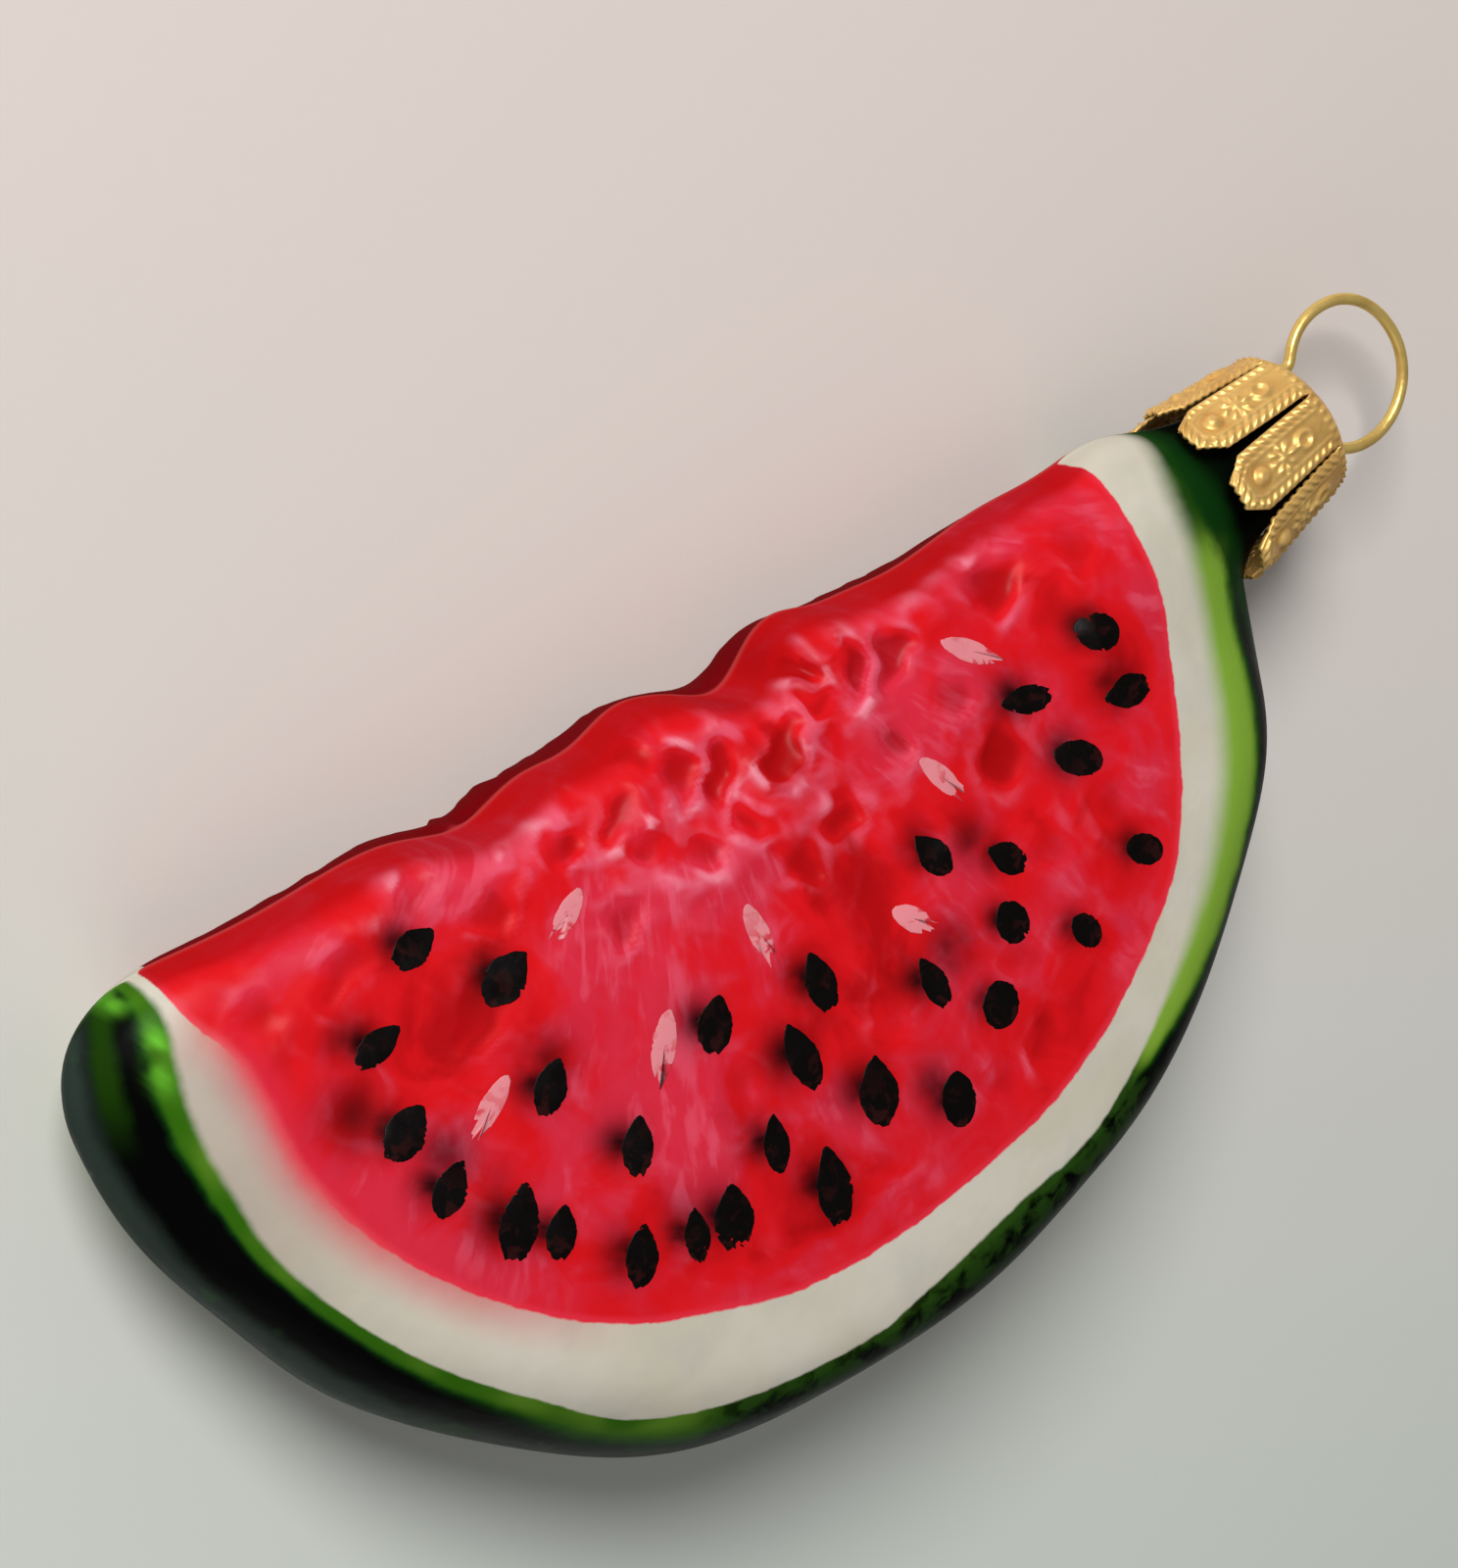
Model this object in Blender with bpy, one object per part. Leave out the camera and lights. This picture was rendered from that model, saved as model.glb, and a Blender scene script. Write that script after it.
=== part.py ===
"""A mould-blown glass ornament in the shape of a watermelon wedge, lying on its back face.

The shapes are worked out in the mould's frame, in millimetres: x runs along the cut edge towards the neck,
y runs from the rind towards the cut edge, and z stands out of the front face, with the mould seam at z = 0.
An empty then lays the ornament down, so that the back face rests at the scene's z = 0.
"""

import math

import bmesh
import bpy
import numpy as np
from mathutils import Matrix, Vector

MM = 0.001

# Outline of the wedge in the seam plane
OUTLINE_CENTRE = (3.3, -7.4)
OUTLINE_HALF_LENGTH = 51.4
OUTLINE_DEPTH = 46.4
CORNER_ROUNDING = 9.0

# Thickness across the seam plane
EDGE_HALF_THICKNESS = 4.2
WEDGE_HALF_ANGLE = math.radians(9.5)
PILLOW_HEIGHT = 3.2
PILLOW_CENTRE_Y = -22.0
PILLOW_HALF_DEPTH = 30.0
RIND_CROWN = 5.8
CREASE_ROUNDING = 3.0

# Waves of the cut edge: centre along x, half width, height
EDGE_WAVES = (
    (-31.0, 7.0, -0.5), (-13.5, 4.5, -1.8), (0.5, 3.6, 1.0), (9.3, 3.2, -2.7), (15.5, 3.6, 1.6),
    (21.5, 3.0, -0.5), (36.0, 7.0, 1.2), (47.5, 6.0, 1.8),
)

# Flesh area, which carries the relief
FLESH_CENTRE = (2.7, -4.5)
FLESH_HALF_LENGTH = 41.7
FLESH_DEPTH = 36.9
RELIEF_FADE = 8.0

# Lumps and dents of the flesh: centre x, centre y, radius, height
FLESH_LUMPS = (
    (12.2, 0.2, 2.4, -1.1), (8.6, 0.6, 2.2, 0.7), (12.6, -4.0, 2.2, 0.7), (16.0, -0.4, 2.0, 0.7),
    (19.6, -3.3, 2.2, -0.8), (16.8, -5.6, 2.2, 0.5), (10.0, -6.4, 2.4, 0.8), (6.9, -5.4, 2.0, 0.6),
    (3.9, -5.4, 2.2, -0.9), (0.4, -2.4, 2.4, -0.7), (-3.0, -4.6, 2.6, 0.7), (-7.5, -3.0, 2.6, -0.5),
    (-3.0, -9.8, 2.4, 0.7), (1.6, -10.6, 2.4, 0.8), (6.0, -9.4, 2.4, 0.7), (7.4, -13.0, 2.6, -0.8),
    (11.8, -12.0, 2.4, -0.6), (10.8, -17.0, 2.6, -0.6), (26.0, -13.7, 3.4, -0.9), (29.8, -1.4, 3.2, -1.0),
    (25.4, -1.2, 2.6, 0.5), (33.6, -4.0, 3.0, 0.5), (22.6, -8.6, 3.0, 0.5), (20.4, -33.6, 3.2, -0.6),
    (15.4, -22.0, 3.0, 0.4), (-12.0, -5.2, 3.0, 0.5), (-16.4, -1.2, 3.2, 0.5), (-20.6, -5.6, 3.0, -0.5),
    (-26.0, -1.6, 3.4, 0.5), (-31.0, -6.0, 3.2, 0.6), (-33.6, -10.6, 3.0, 0.5), (-24.4, -12.6, 3.4, -0.4),
    (-13.4, -13.0, 3.4, 0.4), (-6.0, -15.6, 3.2, 0.4), (-17.0, -22.6, 3.4, -0.4), (-9.6, -27.4, 3.4, 0.4),
    (0.4, -30.0, 3.2, -0.4), (10.0, -29.0, 3.4, 0.4), (29.6, -22.4, 3.4, 0.4), (35.8, -14.6, 3.2, -0.4),
)
BACK_SHIFT = 5.4

# Neck of the blown glass
NECK_BASE = (55.3, -5.6)
NECK_TURN = math.radians(9.7)
NECK_RADIUS = 5.2
NECK_LENGTH = 9.0
NECK_REACH_INSIDE = 16.0
NECK_ROOT_ROUNDING = 6.0
WALL = 1.0
INNER_SMOOTHING = 0.5
FLAT_DEPTH = 0.35

# Grid of the glass
RAYS = 56
LEFT_HUB = (-34.0, -11.0)
HUB_FROM_NECK_BASE = 18.0
SPINE_DIP = 9.0
FAN_RINGS = 11
SPINE_RINGS = 38
SHOULDER_RINGS = 10
SHOULDER_LAST_ANGLE = math.radians(24.0)
NECK_RINGS = 4
NECK_FIRST_RING_GAP = 1.0
INNER_STEP = 4

# Flatness of the fan of rays: at the hubs and at the middle of the spine
HUB_FLATNESS = 0.7
SPINE_FLATNESS = 0.5
RAY_REACH = 80.0
BISECTIONS = 18

# Crown cap, along the neck's axis from the neck's base
PETALS = 8
PETAL_TURN = math.radians(-13.0)
PETAL_COLUMNS = 6
PETAL_SLOT = 0.5
PETAL_POINT = 2.3
PETAL_POINT_WIDTH = 0.4
PETAL_ROWS = (6.8, 4.5)
TIP_RADIUS = 7.2
TIP_HEIGHT = -0.3
COLLAR_RADIUS = 6.2
COLLAR_HEIGHT = 8.8
CAP_TOP_HEIGHT = 11.6
SHEET = 0.4
CAP_PROFILE = ((6.05, 9.3), (5.6, 9.85), (4.8, 10.4), (3.3, 11.0), (1.6, 11.45))
WIRE_HOLE_RADIUS = 0.95
WIRE_HOLE_SIDES = 14
CUTTER_LENGTH = 5.0

# Hanging wire
WIRE_RADIUS = 0.48
RING_RADIUS = 5.7
RING_BULGE = 0.12
BULGE_START = 2.0
RING_CENTRE_HEIGHT = 16.6
LEG_TOP_HEIGHT = 12.6
LEG_PATH = (
    (3.85, 11.9), (3.8, 11.0), (3.6, 10.0), (3.2, 8.8), (2.6, 6.8), (2.3, 4.6), (2.3, 2.0), (2.9, -1.6),
    (3.7, -4.6),
)
WIRE_SIDES = 10
WIRE_RING_STEPS = 34

SMOOTH_ANGLE = math.radians(50.0)
CAP_SMOOTH_ANGLE = math.radians(40.0)

GLASS_COLOUR = (0.75, 0.06, 0.06, 1.0)
GOLD_COLOUR = (0.72, 0.47, 0.13, 1.0)


def soft_max(a, b, rounding):
    share = np.clip(0.5 + 0.5 * (a - b) / rounding, 0.0, 1.0)
    return a * share + b * (1.0 - share) + rounding * share * (1.0 - share)


def soft_min(a, b, rounding):
    return -soft_max(-a, -b, rounding)


def flesh_relief(x, y, z):
    """Height of the lumps and dents, fading out at the edge of the flesh."""
    along = np.where(z >= 0.0, x, BACK_SHIFT - x)
    height = np.zeros_like(x)
    for centre_x, centre_y, radius, lump in FLESH_LUMPS:
        height += lump * np.exp(-((along - centre_x) ** 2 + (y - centre_y) ** 2) / radius**2)
    reach = np.hypot((x - FLESH_CENTRE[0]) / FLESH_HALF_LENGTH, (y - FLESH_CENTRE[1]) / FLESH_DEPTH)
    return height * np.clip((1.0 - reach) * RELIEF_FADE, 0.0, 1.0)


def half_thickness(x, y, z, relief):
    """Distance from the seam plane to the front or back face."""
    across = ((x - OUTLINE_CENTRE[0]) / OUTLINE_HALF_LENGTH) ** 2
    down = ((y - PILLOW_CENTRE_Y) / PILLOW_HALF_DEPTH) ** 2
    pillow = PILLOW_HEIGHT * np.clip(1.0 - across - down, 0.0, 1.0)
    wedge = EDGE_HALF_THICKNESS - np.minimum(y, 2.0) * math.tan(WEDGE_HALF_ANGLE)
    return wedge + pillow + relief * flesh_relief(x, y, z)


def glass_field(points, relief):
    """Signed distance, near enough, to the outside of the glass: negative inside."""
    x, y, z = points.T
    local_x = x - OUTLINE_CENTRE[0]
    local_y = y - OUTLINE_CENTRE[1]
    ratio = np.hypot(local_x / OUTLINE_HALF_LENGTH, local_y / OUTLINE_DEPTH) + 1e-9
    slope = np.hypot(local_x / OUTLINE_HALF_LENGTH**2, local_y / OUTLINE_DEPTH**2) / ratio + 1e-9
    thickness = half_thickness(x, y, z, relief)
    rind = (ratio - 1.0) / slope + RIND_CROWN * (z / thickness) ** 2
    face = (np.abs(z) - thickness) * math.cos(WEDGE_HALF_ANGLE)
    cut_edge = y - sum(height * np.exp(-(((x - at) / width) ** 2)) for at, width, height in EDGE_WAVES)
    wedge = soft_max(soft_max(rind, cut_edge, CORNER_ROUNDING), face, CREASE_ROUNDING)
    from_base_x = x - NECK_BASE[0]
    from_base_y = y - NECK_BASE[1]
    aside = from_base_y * math.cos(NECK_TURN) - from_base_x * math.sin(NECK_TURN)
    neck = np.hypot(aside, z) - NECK_RADIUS
    behind = -(from_base_x * math.cos(NECK_TURN) + from_base_y * math.sin(NECK_TURN)) - NECK_REACH_INSIDE
    return soft_min(wedge, np.maximum(neck, behind), NECK_ROOT_ROUNDING)


def on_neck_axis(height, aside=0.0, out=0.0):
    """Point at a height along the neck's axis, aside in the seam plane and out of it."""
    x = NECK_BASE[0] + height * math.cos(NECK_TURN) - aside * math.sin(NECK_TURN)
    y = NECK_BASE[1] + height * math.sin(NECK_TURN) + aside * math.cos(NECK_TURN)
    return (x, y, out)


def ring_stations():
    """Hub, axis angle, cone angle and flatness of each ring, from the left end to the neck's mouth."""
    stations = []
    for ring in range(1, FAN_RINGS + 1):
        cone = math.pi - 0.5 * math.pi * ring / (FAN_RINGS + 1)
        flatness = 1.0 - (1.0 - HUB_FLATNESS) * ring / (FAN_RINGS + 1)
        stations.append((LEFT_HUB, 0.0, cone, flatness))
    right_hub = on_neck_axis(-HUB_FROM_NECK_BASE)
    for ring in range(SPINE_RINGS + 1):
        share = ring / SPINE_RINGS
        x = LEFT_HUB[0] + (right_hub[0] - LEFT_HUB[0]) * share
        y = LEFT_HUB[1] + (right_hub[1] - LEFT_HUB[1]) * share - SPINE_DIP * math.sin(math.pi * share)
        flatness = HUB_FLATNESS - (HUB_FLATNESS - SPINE_FLATNESS) * math.sin(math.pi * share)
        stations.append(((x, y), NECK_TURN * share, 0.5 * math.pi, flatness))
    for ring in range(1, SHOULDER_RINGS + 1):
        share = ring / SHOULDER_RINGS
        cone = 0.5 * math.pi + (SHOULDER_LAST_ANGLE - 0.5 * math.pi) * share
        flatness = HUB_FLATNESS + (1.0 - HUB_FLATNESS) * share
        stations.append((right_hub[:2], NECK_TURN, cone, flatness))
    start = NECK_FIRST_RING_GAP - HUB_FROM_NECK_BASE + NECK_RADIUS / math.tan(SHOULDER_LAST_ANGLE)
    for ring in range(NECK_RINGS + 1):
        height = start + (NECK_LENGTH - start) * ring / NECK_RINGS
        stations.append((on_neck_axis(height)[:2], NECK_TURN, 0.5 * math.pi, 1.0))
    return stations


def ring_points(station, depth, relief):
    """One closed ring on the surface that lies depth inside the glass's outside."""
    hub, axis_angle, cone, flatness = station
    turn = np.linspace(0.0, 2.0 * math.pi, RAYS, endpoint=False)
    axis = np.array([math.cos(axis_angle), math.sin(axis_angle), 0.0])
    aside = np.array([-math.sin(axis_angle), math.cos(axis_angle), 0.0])
    spread = np.outer(np.cos(turn), aside) + np.outer(flatness * np.sin(turn), [0.0, 0.0, 1.0])
    ways = math.cos(cone) * axis + math.sin(cone) * spread
    ways /= np.linalg.norm(ways, axis=1)[:, None]
    start = np.array([hub[0], hub[1], 0.0])
    inside = np.zeros(RAYS)
    outside = np.full(RAYS, RAY_REACH)
    found = np.zeros(RAYS, dtype=bool)
    for distance in np.arange(1.0, RAY_REACH, 1.0):
        beyond = glass_field(start + ways * distance, relief) > -depth
        newly = beyond & ~found
        outside[newly] = distance
        inside[newly] = distance - 1.0
        found |= beyond
    for _ in range(BISECTIONS):
        middle = 0.5 * (inside + outside)
        beyond = glass_field(start + ways * middle[:, None], relief) > -depth
        outside = np.where(beyond, middle, outside)
        inside = np.where(beyond, inside, middle)
    return start + ways * outside[:, None]


def pole_point(depth):
    station = (LEFT_HUB, 0.0, math.pi, 1.0)
    return ring_points(station, depth, 0.0)[0]


def lay_flat_spot(points):
    """Cuts the crown of the back face flat, square to the way that the ornament lies down."""
    down = np.array([0.0, math.sin(WEDGE_HALF_ANGLE), -math.cos(WEDGE_HALF_ANGLE)])
    depth = points @ down
    excess = np.clip(depth - (depth.max() - FLAT_DEPTH), 0.0, None)
    return points - np.outer(excess, down)


def add_object(name, mesh, material, parent):
    obj = bpy.data.objects.new(name, mesh)
    obj.data.materials.append(material)
    obj.parent = parent
    bpy.context.scene.collection.objects.link(obj)
    return obj


def make_material(name, colour, roughness, metallic):
    material = bpy.data.materials.new(name)
    material.use_nodes = True
    shader = material.node_tree.nodes["Principled BSDF"]
    shader.inputs["Base Color"].default_value = colour
    shader.inputs["Roughness"].default_value = roughness
    shader.inputs["Metallic"].default_value = metallic
    return material


def bridge(bm, first, second):
    count = len(first)
    for index in range(count):
        after = (index + 1) % count
        bm.faces.new((first[index], first[after], second[after], second[index]))


def close_with_point(bm, ring, point):
    tip = bm.verts.new(point)
    count = len(ring)
    for index in range(count):
        bm.faces.new((ring[index], ring[(index + 1) % count], tip))


def mesh_from(bm, name, smooth_angle):
    bmesh.ops.recalc_face_normals(bm, faces=bm.faces)
    bmesh.ops.triangulate(bm, faces=bm.faces)
    mesh = bpy.data.meshes.new(name)
    bm.to_mesh(mesh)
    bm.free()
    mesh.shade_smooth()
    mesh.set_sharp_from_angle(angle=smooth_angle)
    return mesh


def make_glass_body(material, parent):
    stations = ring_stations()
    outer = [ring_points(station, 0.0, 1.0) for station in stations]
    last = len(stations) - 1
    kept = sorted(set(range(2, last + 1, INNER_STEP)) | {last})
    inner = [ring_points(stations[at], WALL + INNER_SMOOTHING * (at < last - 2), 0.0) for at in kept]
    flat = lay_flat_spot(np.concatenate(outer)).reshape(len(outer), RAYS, 3)
    bm = bmesh.new()
    rings = []
    for points in list(flat) + list(reversed(inner)):
        rings.append([bm.verts.new(point * MM) for point in points])
    for first, second in zip(rings[:-1], rings[1:]):
        bridge(bm, first, second)
    close_with_point(bm, rings[0], pole_point(0.0) * MM)
    close_with_point(bm, rings[-1], pole_point(WALL + INNER_SMOOTHING) * MM)
    return add_object("glass_body", mesh_from(bm, "glass_body", SMOOTH_ANGLE), material, parent)


def petal_half_angle(height):
    """Half of a petal's angle round the axis, narrowing to a clipped point at its free end."""
    radius = TIP_RADIUS + (COLLAR_RADIUS - TIP_RADIUS) * (height - TIP_HEIGHT) / (COLLAR_HEIGHT - TIP_HEIGHT)
    full = math.pi / PETALS - 0.5 * PETAL_SLOT / radius
    share = min(1.0, (height - TIP_HEIGHT) / PETAL_POINT)
    return full * (PETAL_POINT_WIDTH + (1.0 - PETAL_POINT_WIDTH) * share), radius


def cap_point(radius, angle, height):
    return Vector(on_neck_axis(height, radius * math.cos(angle), radius * math.sin(angle))) * MM


def make_crown_cap(material, parent):
    bm = bmesh.new()
    columns = PETALS * PETAL_COLUMNS
    pitch = 2.0 * math.pi / PETALS
    collar = []
    for petal in range(PETALS):
        half_angle, radius = petal_half_angle(COLLAR_HEIGHT)
        for column in range(PETAL_COLUMNS):
            share = -1.0 + 2.0 * column / (PETAL_COLUMNS - 1)
            angle = PETAL_TURN + petal * pitch + half_angle * share
            collar.append(bm.verts.new(cap_point(radius, angle, COLLAR_HEIGHT)))
    ring = collar
    for radius, height in CAP_PROFILE:
        above = []
        for column in range(columns):
            angle = PETAL_TURN + 2.0 * math.pi * column / columns - petal_half_angle(COLLAR_HEIGHT)[0]
            above.append(bm.verts.new(cap_point(radius, angle, height)))
        bridge(bm, ring, above)
        ring = above
    close_with_point(bm, ring, cap_point(0.0, 0.0, CAP_TOP_HEIGHT))
    heights = PETAL_ROWS + (TIP_HEIGHT + PETAL_POINT, TIP_HEIGHT + 0.5 * PETAL_POINT, TIP_HEIGHT)
    for petal in range(PETALS):
        row = collar[petal * PETAL_COLUMNS:(petal + 1) * PETAL_COLUMNS]
        for height in heights:
            half_angle, radius = petal_half_angle(height)
            lower = []
            for column in range(PETAL_COLUMNS):
                share = -1.0 + 2.0 * column / (PETAL_COLUMNS - 1)
                angle = PETAL_TURN + petal * pitch + half_angle * share
                lower.append(bm.verts.new(cap_point(radius, angle, height)))
            for column in range(PETAL_COLUMNS - 1):
                bm.faces.new((row[column], row[column + 1], lower[column + 1], lower[column]))
            row = lower
    cap = add_object("crown_cap", mesh_from(bm, "crown_cap", CAP_SMOOTH_ANGLE), material, parent)
    sheet = cap.modifiers.new("sheet", "SOLIDIFY")
    sheet.thickness = SHEET * MM
    sheet.offset = 0.0
    sheet.use_even_offset = True
    for side in (-1.0, 1.0):
        hole = cap.modifiers.new("wire_hole", "BOOLEAN")
        hole.operation = "DIFFERENCE"
        hole.object = wire_hole_cutter(side, parent)
    return cap


def wire_hole_cutter(side, parent):
    """A short rod on the wire's way through the dome."""
    bm = bmesh.new()
    radius = WIRE_HOLE_RADIUS * MM
    bmesh.ops.create_cone(
        bm, cap_ends=True, segments=WIRE_HOLE_SIDES, radius1=radius, radius2=radius, depth=CUTTER_LENGTH * MM
    )
    mesh = bpy.data.meshes.new("wire_hole_cutter")
    bm.to_mesh(mesh)
    bm.free()
    upper = Vector(on_neck_axis(LEG_PATH[0][1], side * LEG_PATH[0][0]))
    lower = Vector(on_neck_axis(LEG_PATH[2][1], side * LEG_PATH[2][0]))
    turn = (upper - lower).to_track_quat("Z", "Y").to_matrix().to_4x4()
    mesh.transform(Matrix.Translation(0.5 * (upper + lower) * MM) @ turn)
    cutter = bpy.data.objects.new("wire_hole_cutter", mesh)
    cutter.parent = parent
    cutter.hide_render = True
    cutter.display_type = "WIRE"
    bpy.context.scene.collection.objects.link(cutter)
    return cutter


def wire_path():
    """Points from one leg's free end, up through the cap, round the ring and down the other leg.

    The ring bulges towards the cut edge's side.
    """
    leg = [(aside, height) for aside, height in reversed(LEG_PATH)]
    entry = math.acos((RING_CENTRE_HEIGHT - LEG_TOP_HEIGHT) / RING_RADIUS)
    ring = []
    for step in range(WIRE_RING_STEPS + 1):
        angle = entry + (2.0 * math.pi - 2.0 * entry) * step / WIRE_RING_STEPS
        aside = RING_RADIUS * math.sin(angle)
        aside *= 1.0 + RING_BULGE * min(1.0, max(0.0, aside / BULGE_START))
        ring.append((aside, RING_CENTRE_HEIGHT - RING_RADIUS * math.cos(angle)))
    other_leg = [(-aside, height) for aside, height in LEG_PATH]
    return [on_neck_axis(height, aside) for aside, height in leg + ring + other_leg]


def make_hanger_wire(material, parent):
    points = [Vector(point) for point in wire_path()]
    bm = bmesh.new()
    rings = []
    for index, point in enumerate(points):
        way = (points[min(index + 1, len(points) - 1)] - points[max(index - 1, 0)]).normalized()
        out = Vector((0.0, 0.0, 1.0))
        aside = way.cross(out).normalized()
        ring = []
        for corner in range(WIRE_SIDES):
            angle = 2.0 * math.pi * corner / WIRE_SIDES
            offset = (aside * math.cos(angle) + out * math.sin(angle)) * WIRE_RADIUS
            ring.append(bm.verts.new((point + offset) * MM))
        rings.append(ring)
    for first, second in zip(rings[:-1], rings[1:]):
        bridge(bm, first, second)
    bm.faces.new(rings[0])
    bm.faces.new(rings[-1])
    return add_object("hanger_wire", mesh_from(bm, "hanger_wire", SMOOTH_ANGLE), material, parent)


def lay_down(frame, objects):
    """Turns the mould's frame on to the back face, and centres the ornament over the origin."""
    turn = Matrix.Rotation(-WEDGE_HALF_ANGLE, 4, "X")
    corners = [turn @ vertex.co for obj in objects for vertex in obj.data.vertices]
    low = [min(corner[axis] for corner in corners) for axis in range(3)]
    high = [max(corner[axis] for corner in corners) for axis in range(3)]
    frame.rotation_euler = (-WEDGE_HALF_ANGLE, 0.0, 0.0)
    frame.location = (-0.5 * (low[0] + high[0]), -0.5 * (low[1] + high[1]), -low[2])


def main():
    for obj in list(bpy.data.objects):
        bpy.data.objects.remove(obj)
    frame = bpy.data.objects.new("mould_frame", None)
    bpy.context.scene.collection.objects.link(frame)
    glass = make_material("painted_glass", GLASS_COLOUR, 0.3, 0.0)
    gold = make_material("gold_sheet", GOLD_COLOUR, 0.3, 1.0)
    body = make_glass_body(glass, frame)
    cap = make_crown_cap(gold, frame)
    wire = make_hanger_wire(gold, frame)
    lay_down(frame, (body, cap, wire))


main()
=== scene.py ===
import math
import bmesh
import bpy
import numpy as np
from mathutils import Matrix, Vector


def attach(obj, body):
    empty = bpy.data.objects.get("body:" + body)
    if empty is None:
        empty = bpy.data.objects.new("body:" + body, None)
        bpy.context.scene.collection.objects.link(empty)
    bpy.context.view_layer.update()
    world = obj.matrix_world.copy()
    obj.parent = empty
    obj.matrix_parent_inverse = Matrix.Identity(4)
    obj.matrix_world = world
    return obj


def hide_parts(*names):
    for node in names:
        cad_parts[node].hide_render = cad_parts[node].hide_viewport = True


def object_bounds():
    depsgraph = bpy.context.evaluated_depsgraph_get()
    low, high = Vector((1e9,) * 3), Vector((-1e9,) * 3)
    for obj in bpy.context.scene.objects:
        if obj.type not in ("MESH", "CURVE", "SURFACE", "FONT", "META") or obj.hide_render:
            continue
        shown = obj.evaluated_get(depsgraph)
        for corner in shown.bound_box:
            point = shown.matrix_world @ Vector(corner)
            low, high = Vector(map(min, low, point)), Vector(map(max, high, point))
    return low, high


# Watermelon wedge ornament: mould-blown painted glass, stamped gold cap, gold wire ring.
# Everything is drawn in the mould's frame in millimetres: x along the cut edge towards the neck,
# y from the rind towards the cut edge, z out of the front face, with the mould seam at z = 0.

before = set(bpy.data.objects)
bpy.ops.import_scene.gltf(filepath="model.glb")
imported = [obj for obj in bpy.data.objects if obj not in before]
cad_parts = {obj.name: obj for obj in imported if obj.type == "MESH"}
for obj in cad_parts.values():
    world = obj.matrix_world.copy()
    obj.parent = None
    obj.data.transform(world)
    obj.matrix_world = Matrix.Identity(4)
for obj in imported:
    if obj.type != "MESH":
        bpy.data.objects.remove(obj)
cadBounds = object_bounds()
mm = 0.001

lie = dict(
    tilt=math.radians(-9.5),             # the wedge lies on its back face
    place=(-0.014888, 0.024637, 0.007124),
)
mouldToRow = Matrix.Translation(lie["place"]) @ Matrix.Rotation(lie["tilt"], 4, "X")


# small helpers

def paint(red, green, blue):
    # sRGB 0..255 to linear
    channels = []
    for value in (red, green, blue):
        share = value / 255.0
        channels.append(share / 12.92 if share <= 0.04045 else ((share + 0.055) / 1.055) ** 2.4)
    return (*channels, 1.0)


def smooth(low, high, value):
    share = np.clip((value - low) / (high - low), 0.0, 1.0)
    return share * share * (3.0 - 2.0 * share)


def softMax(a, b, rounding):
    share = np.clip(0.5 + 0.5 * (a - b) / rounding, 0.0, 1.0)
    return a * share + b * (1.0 - share) + rounding * share * (1.0 - share)


def softMin(a, b, rounding):
    return -softMax(-a, -b, rounding)


def between(rise, full, fall, end, value):
    return smooth(rise, full, value) * (1.0 - smooth(fall, end, value))


def bell(x, y, centreX, centreY, halfX, halfY):
    return np.exp(-(((x - centreX) / halfX) ** 2) - ((y - centreY) / halfY) ** 2)


def turned(x, y, centre, angle):
    # place along and across a line through the centre at that angle
    fromX, fromY = x - centre[0], y - centre[1]
    cosTurn, sinTurn = math.cos(angle), math.sin(angle)
    return fromX * cosTurn + fromY * sinTurn, fromY * cosTurn - fromX * sinTurn


def squaredDistance(x, y, line):
    # to the nearest place on the line
    nearest = np.full(len(x), 1e9)
    for (ax, ay), (bx, by) in zip(line[:-1], line[1:]):
        dx, dy = bx - ax, by - ay
        share = np.clip(((x - ax) * dx + (y - ay) * dy) / (dx * dx + dy * dy + 1e-12), 0.0, 1.0)
        nearest = np.minimum(nearest, (x - ax - share * dx) ** 2 + (y - ay - share * dy) ** 2)
    return nearest


def addNode(tree, kind, inputs=None, **settings):
    # inputs are given by the socket's name or number
    node = tree.nodes.new(kind)
    for name, value in settings.items():
        setattr(node, name, value)
    for name, value in (inputs or {}).items():
        plug(tree, value, node.inputs[name])
    return node


def plug(tree, value, socket):
    # a socket is linked, anything else is set as the socket's value
    if isinstance(value, bpy.types.NodeSocket):
        tree.links.new(value, socket)
    else:
        socket.default_value = value


def calc(tree, operation, a, b=None, c=None, clamp=False):
    inputs = {at: value for at, value in enumerate((a, b, c)) if value is not None}
    return addNode(tree, "ShaderNodeMath", inputs, operation=operation, use_clamp=clamp).outputs[0]


def fade(tree, value, low, high, start=0.0, end=1.0):
    inputs = {"Value": value, "From Min": low, "From Max": high, "To Min": start, "To Max": end}
    return addNode(tree, "ShaderNodeMapRange", inputs, interpolation_type="SMOOTHSTEP").outputs["Result"]


def blend(tree, share, a, b):
    # inputs 6 and 7 and output 2 are the node's colours
    return addNode(tree, "ShaderNodeMix", {0: share, 6: a, 7: b}, data_type="RGBA").outputs[2]


def tint(tree, base, colour, share, strength=1.0):
    # lays a colour over the base
    if strength != 1.0:
        share = calc(tree, "MULTIPLY", share, strength)
    return blend(tree, share, base, colour)


def swing(tree, value, amount, middle=0.5):
    # moves a value's middle to zero and scales it
    return calc(tree, "MULTIPLY", calc(tree, "SUBTRACT", value, middle), amount)


def noise(tree, place, scale, detail=2.0, roughness=0.5, distortion=0.0):
    inputs = {"Vector": place, "Scale": scale, "Detail": detail, "Roughness": roughness, "Distortion": distortion}
    return addNode(tree, "ShaderNodeTexNoise", inputs).outputs["Fac"]


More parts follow.
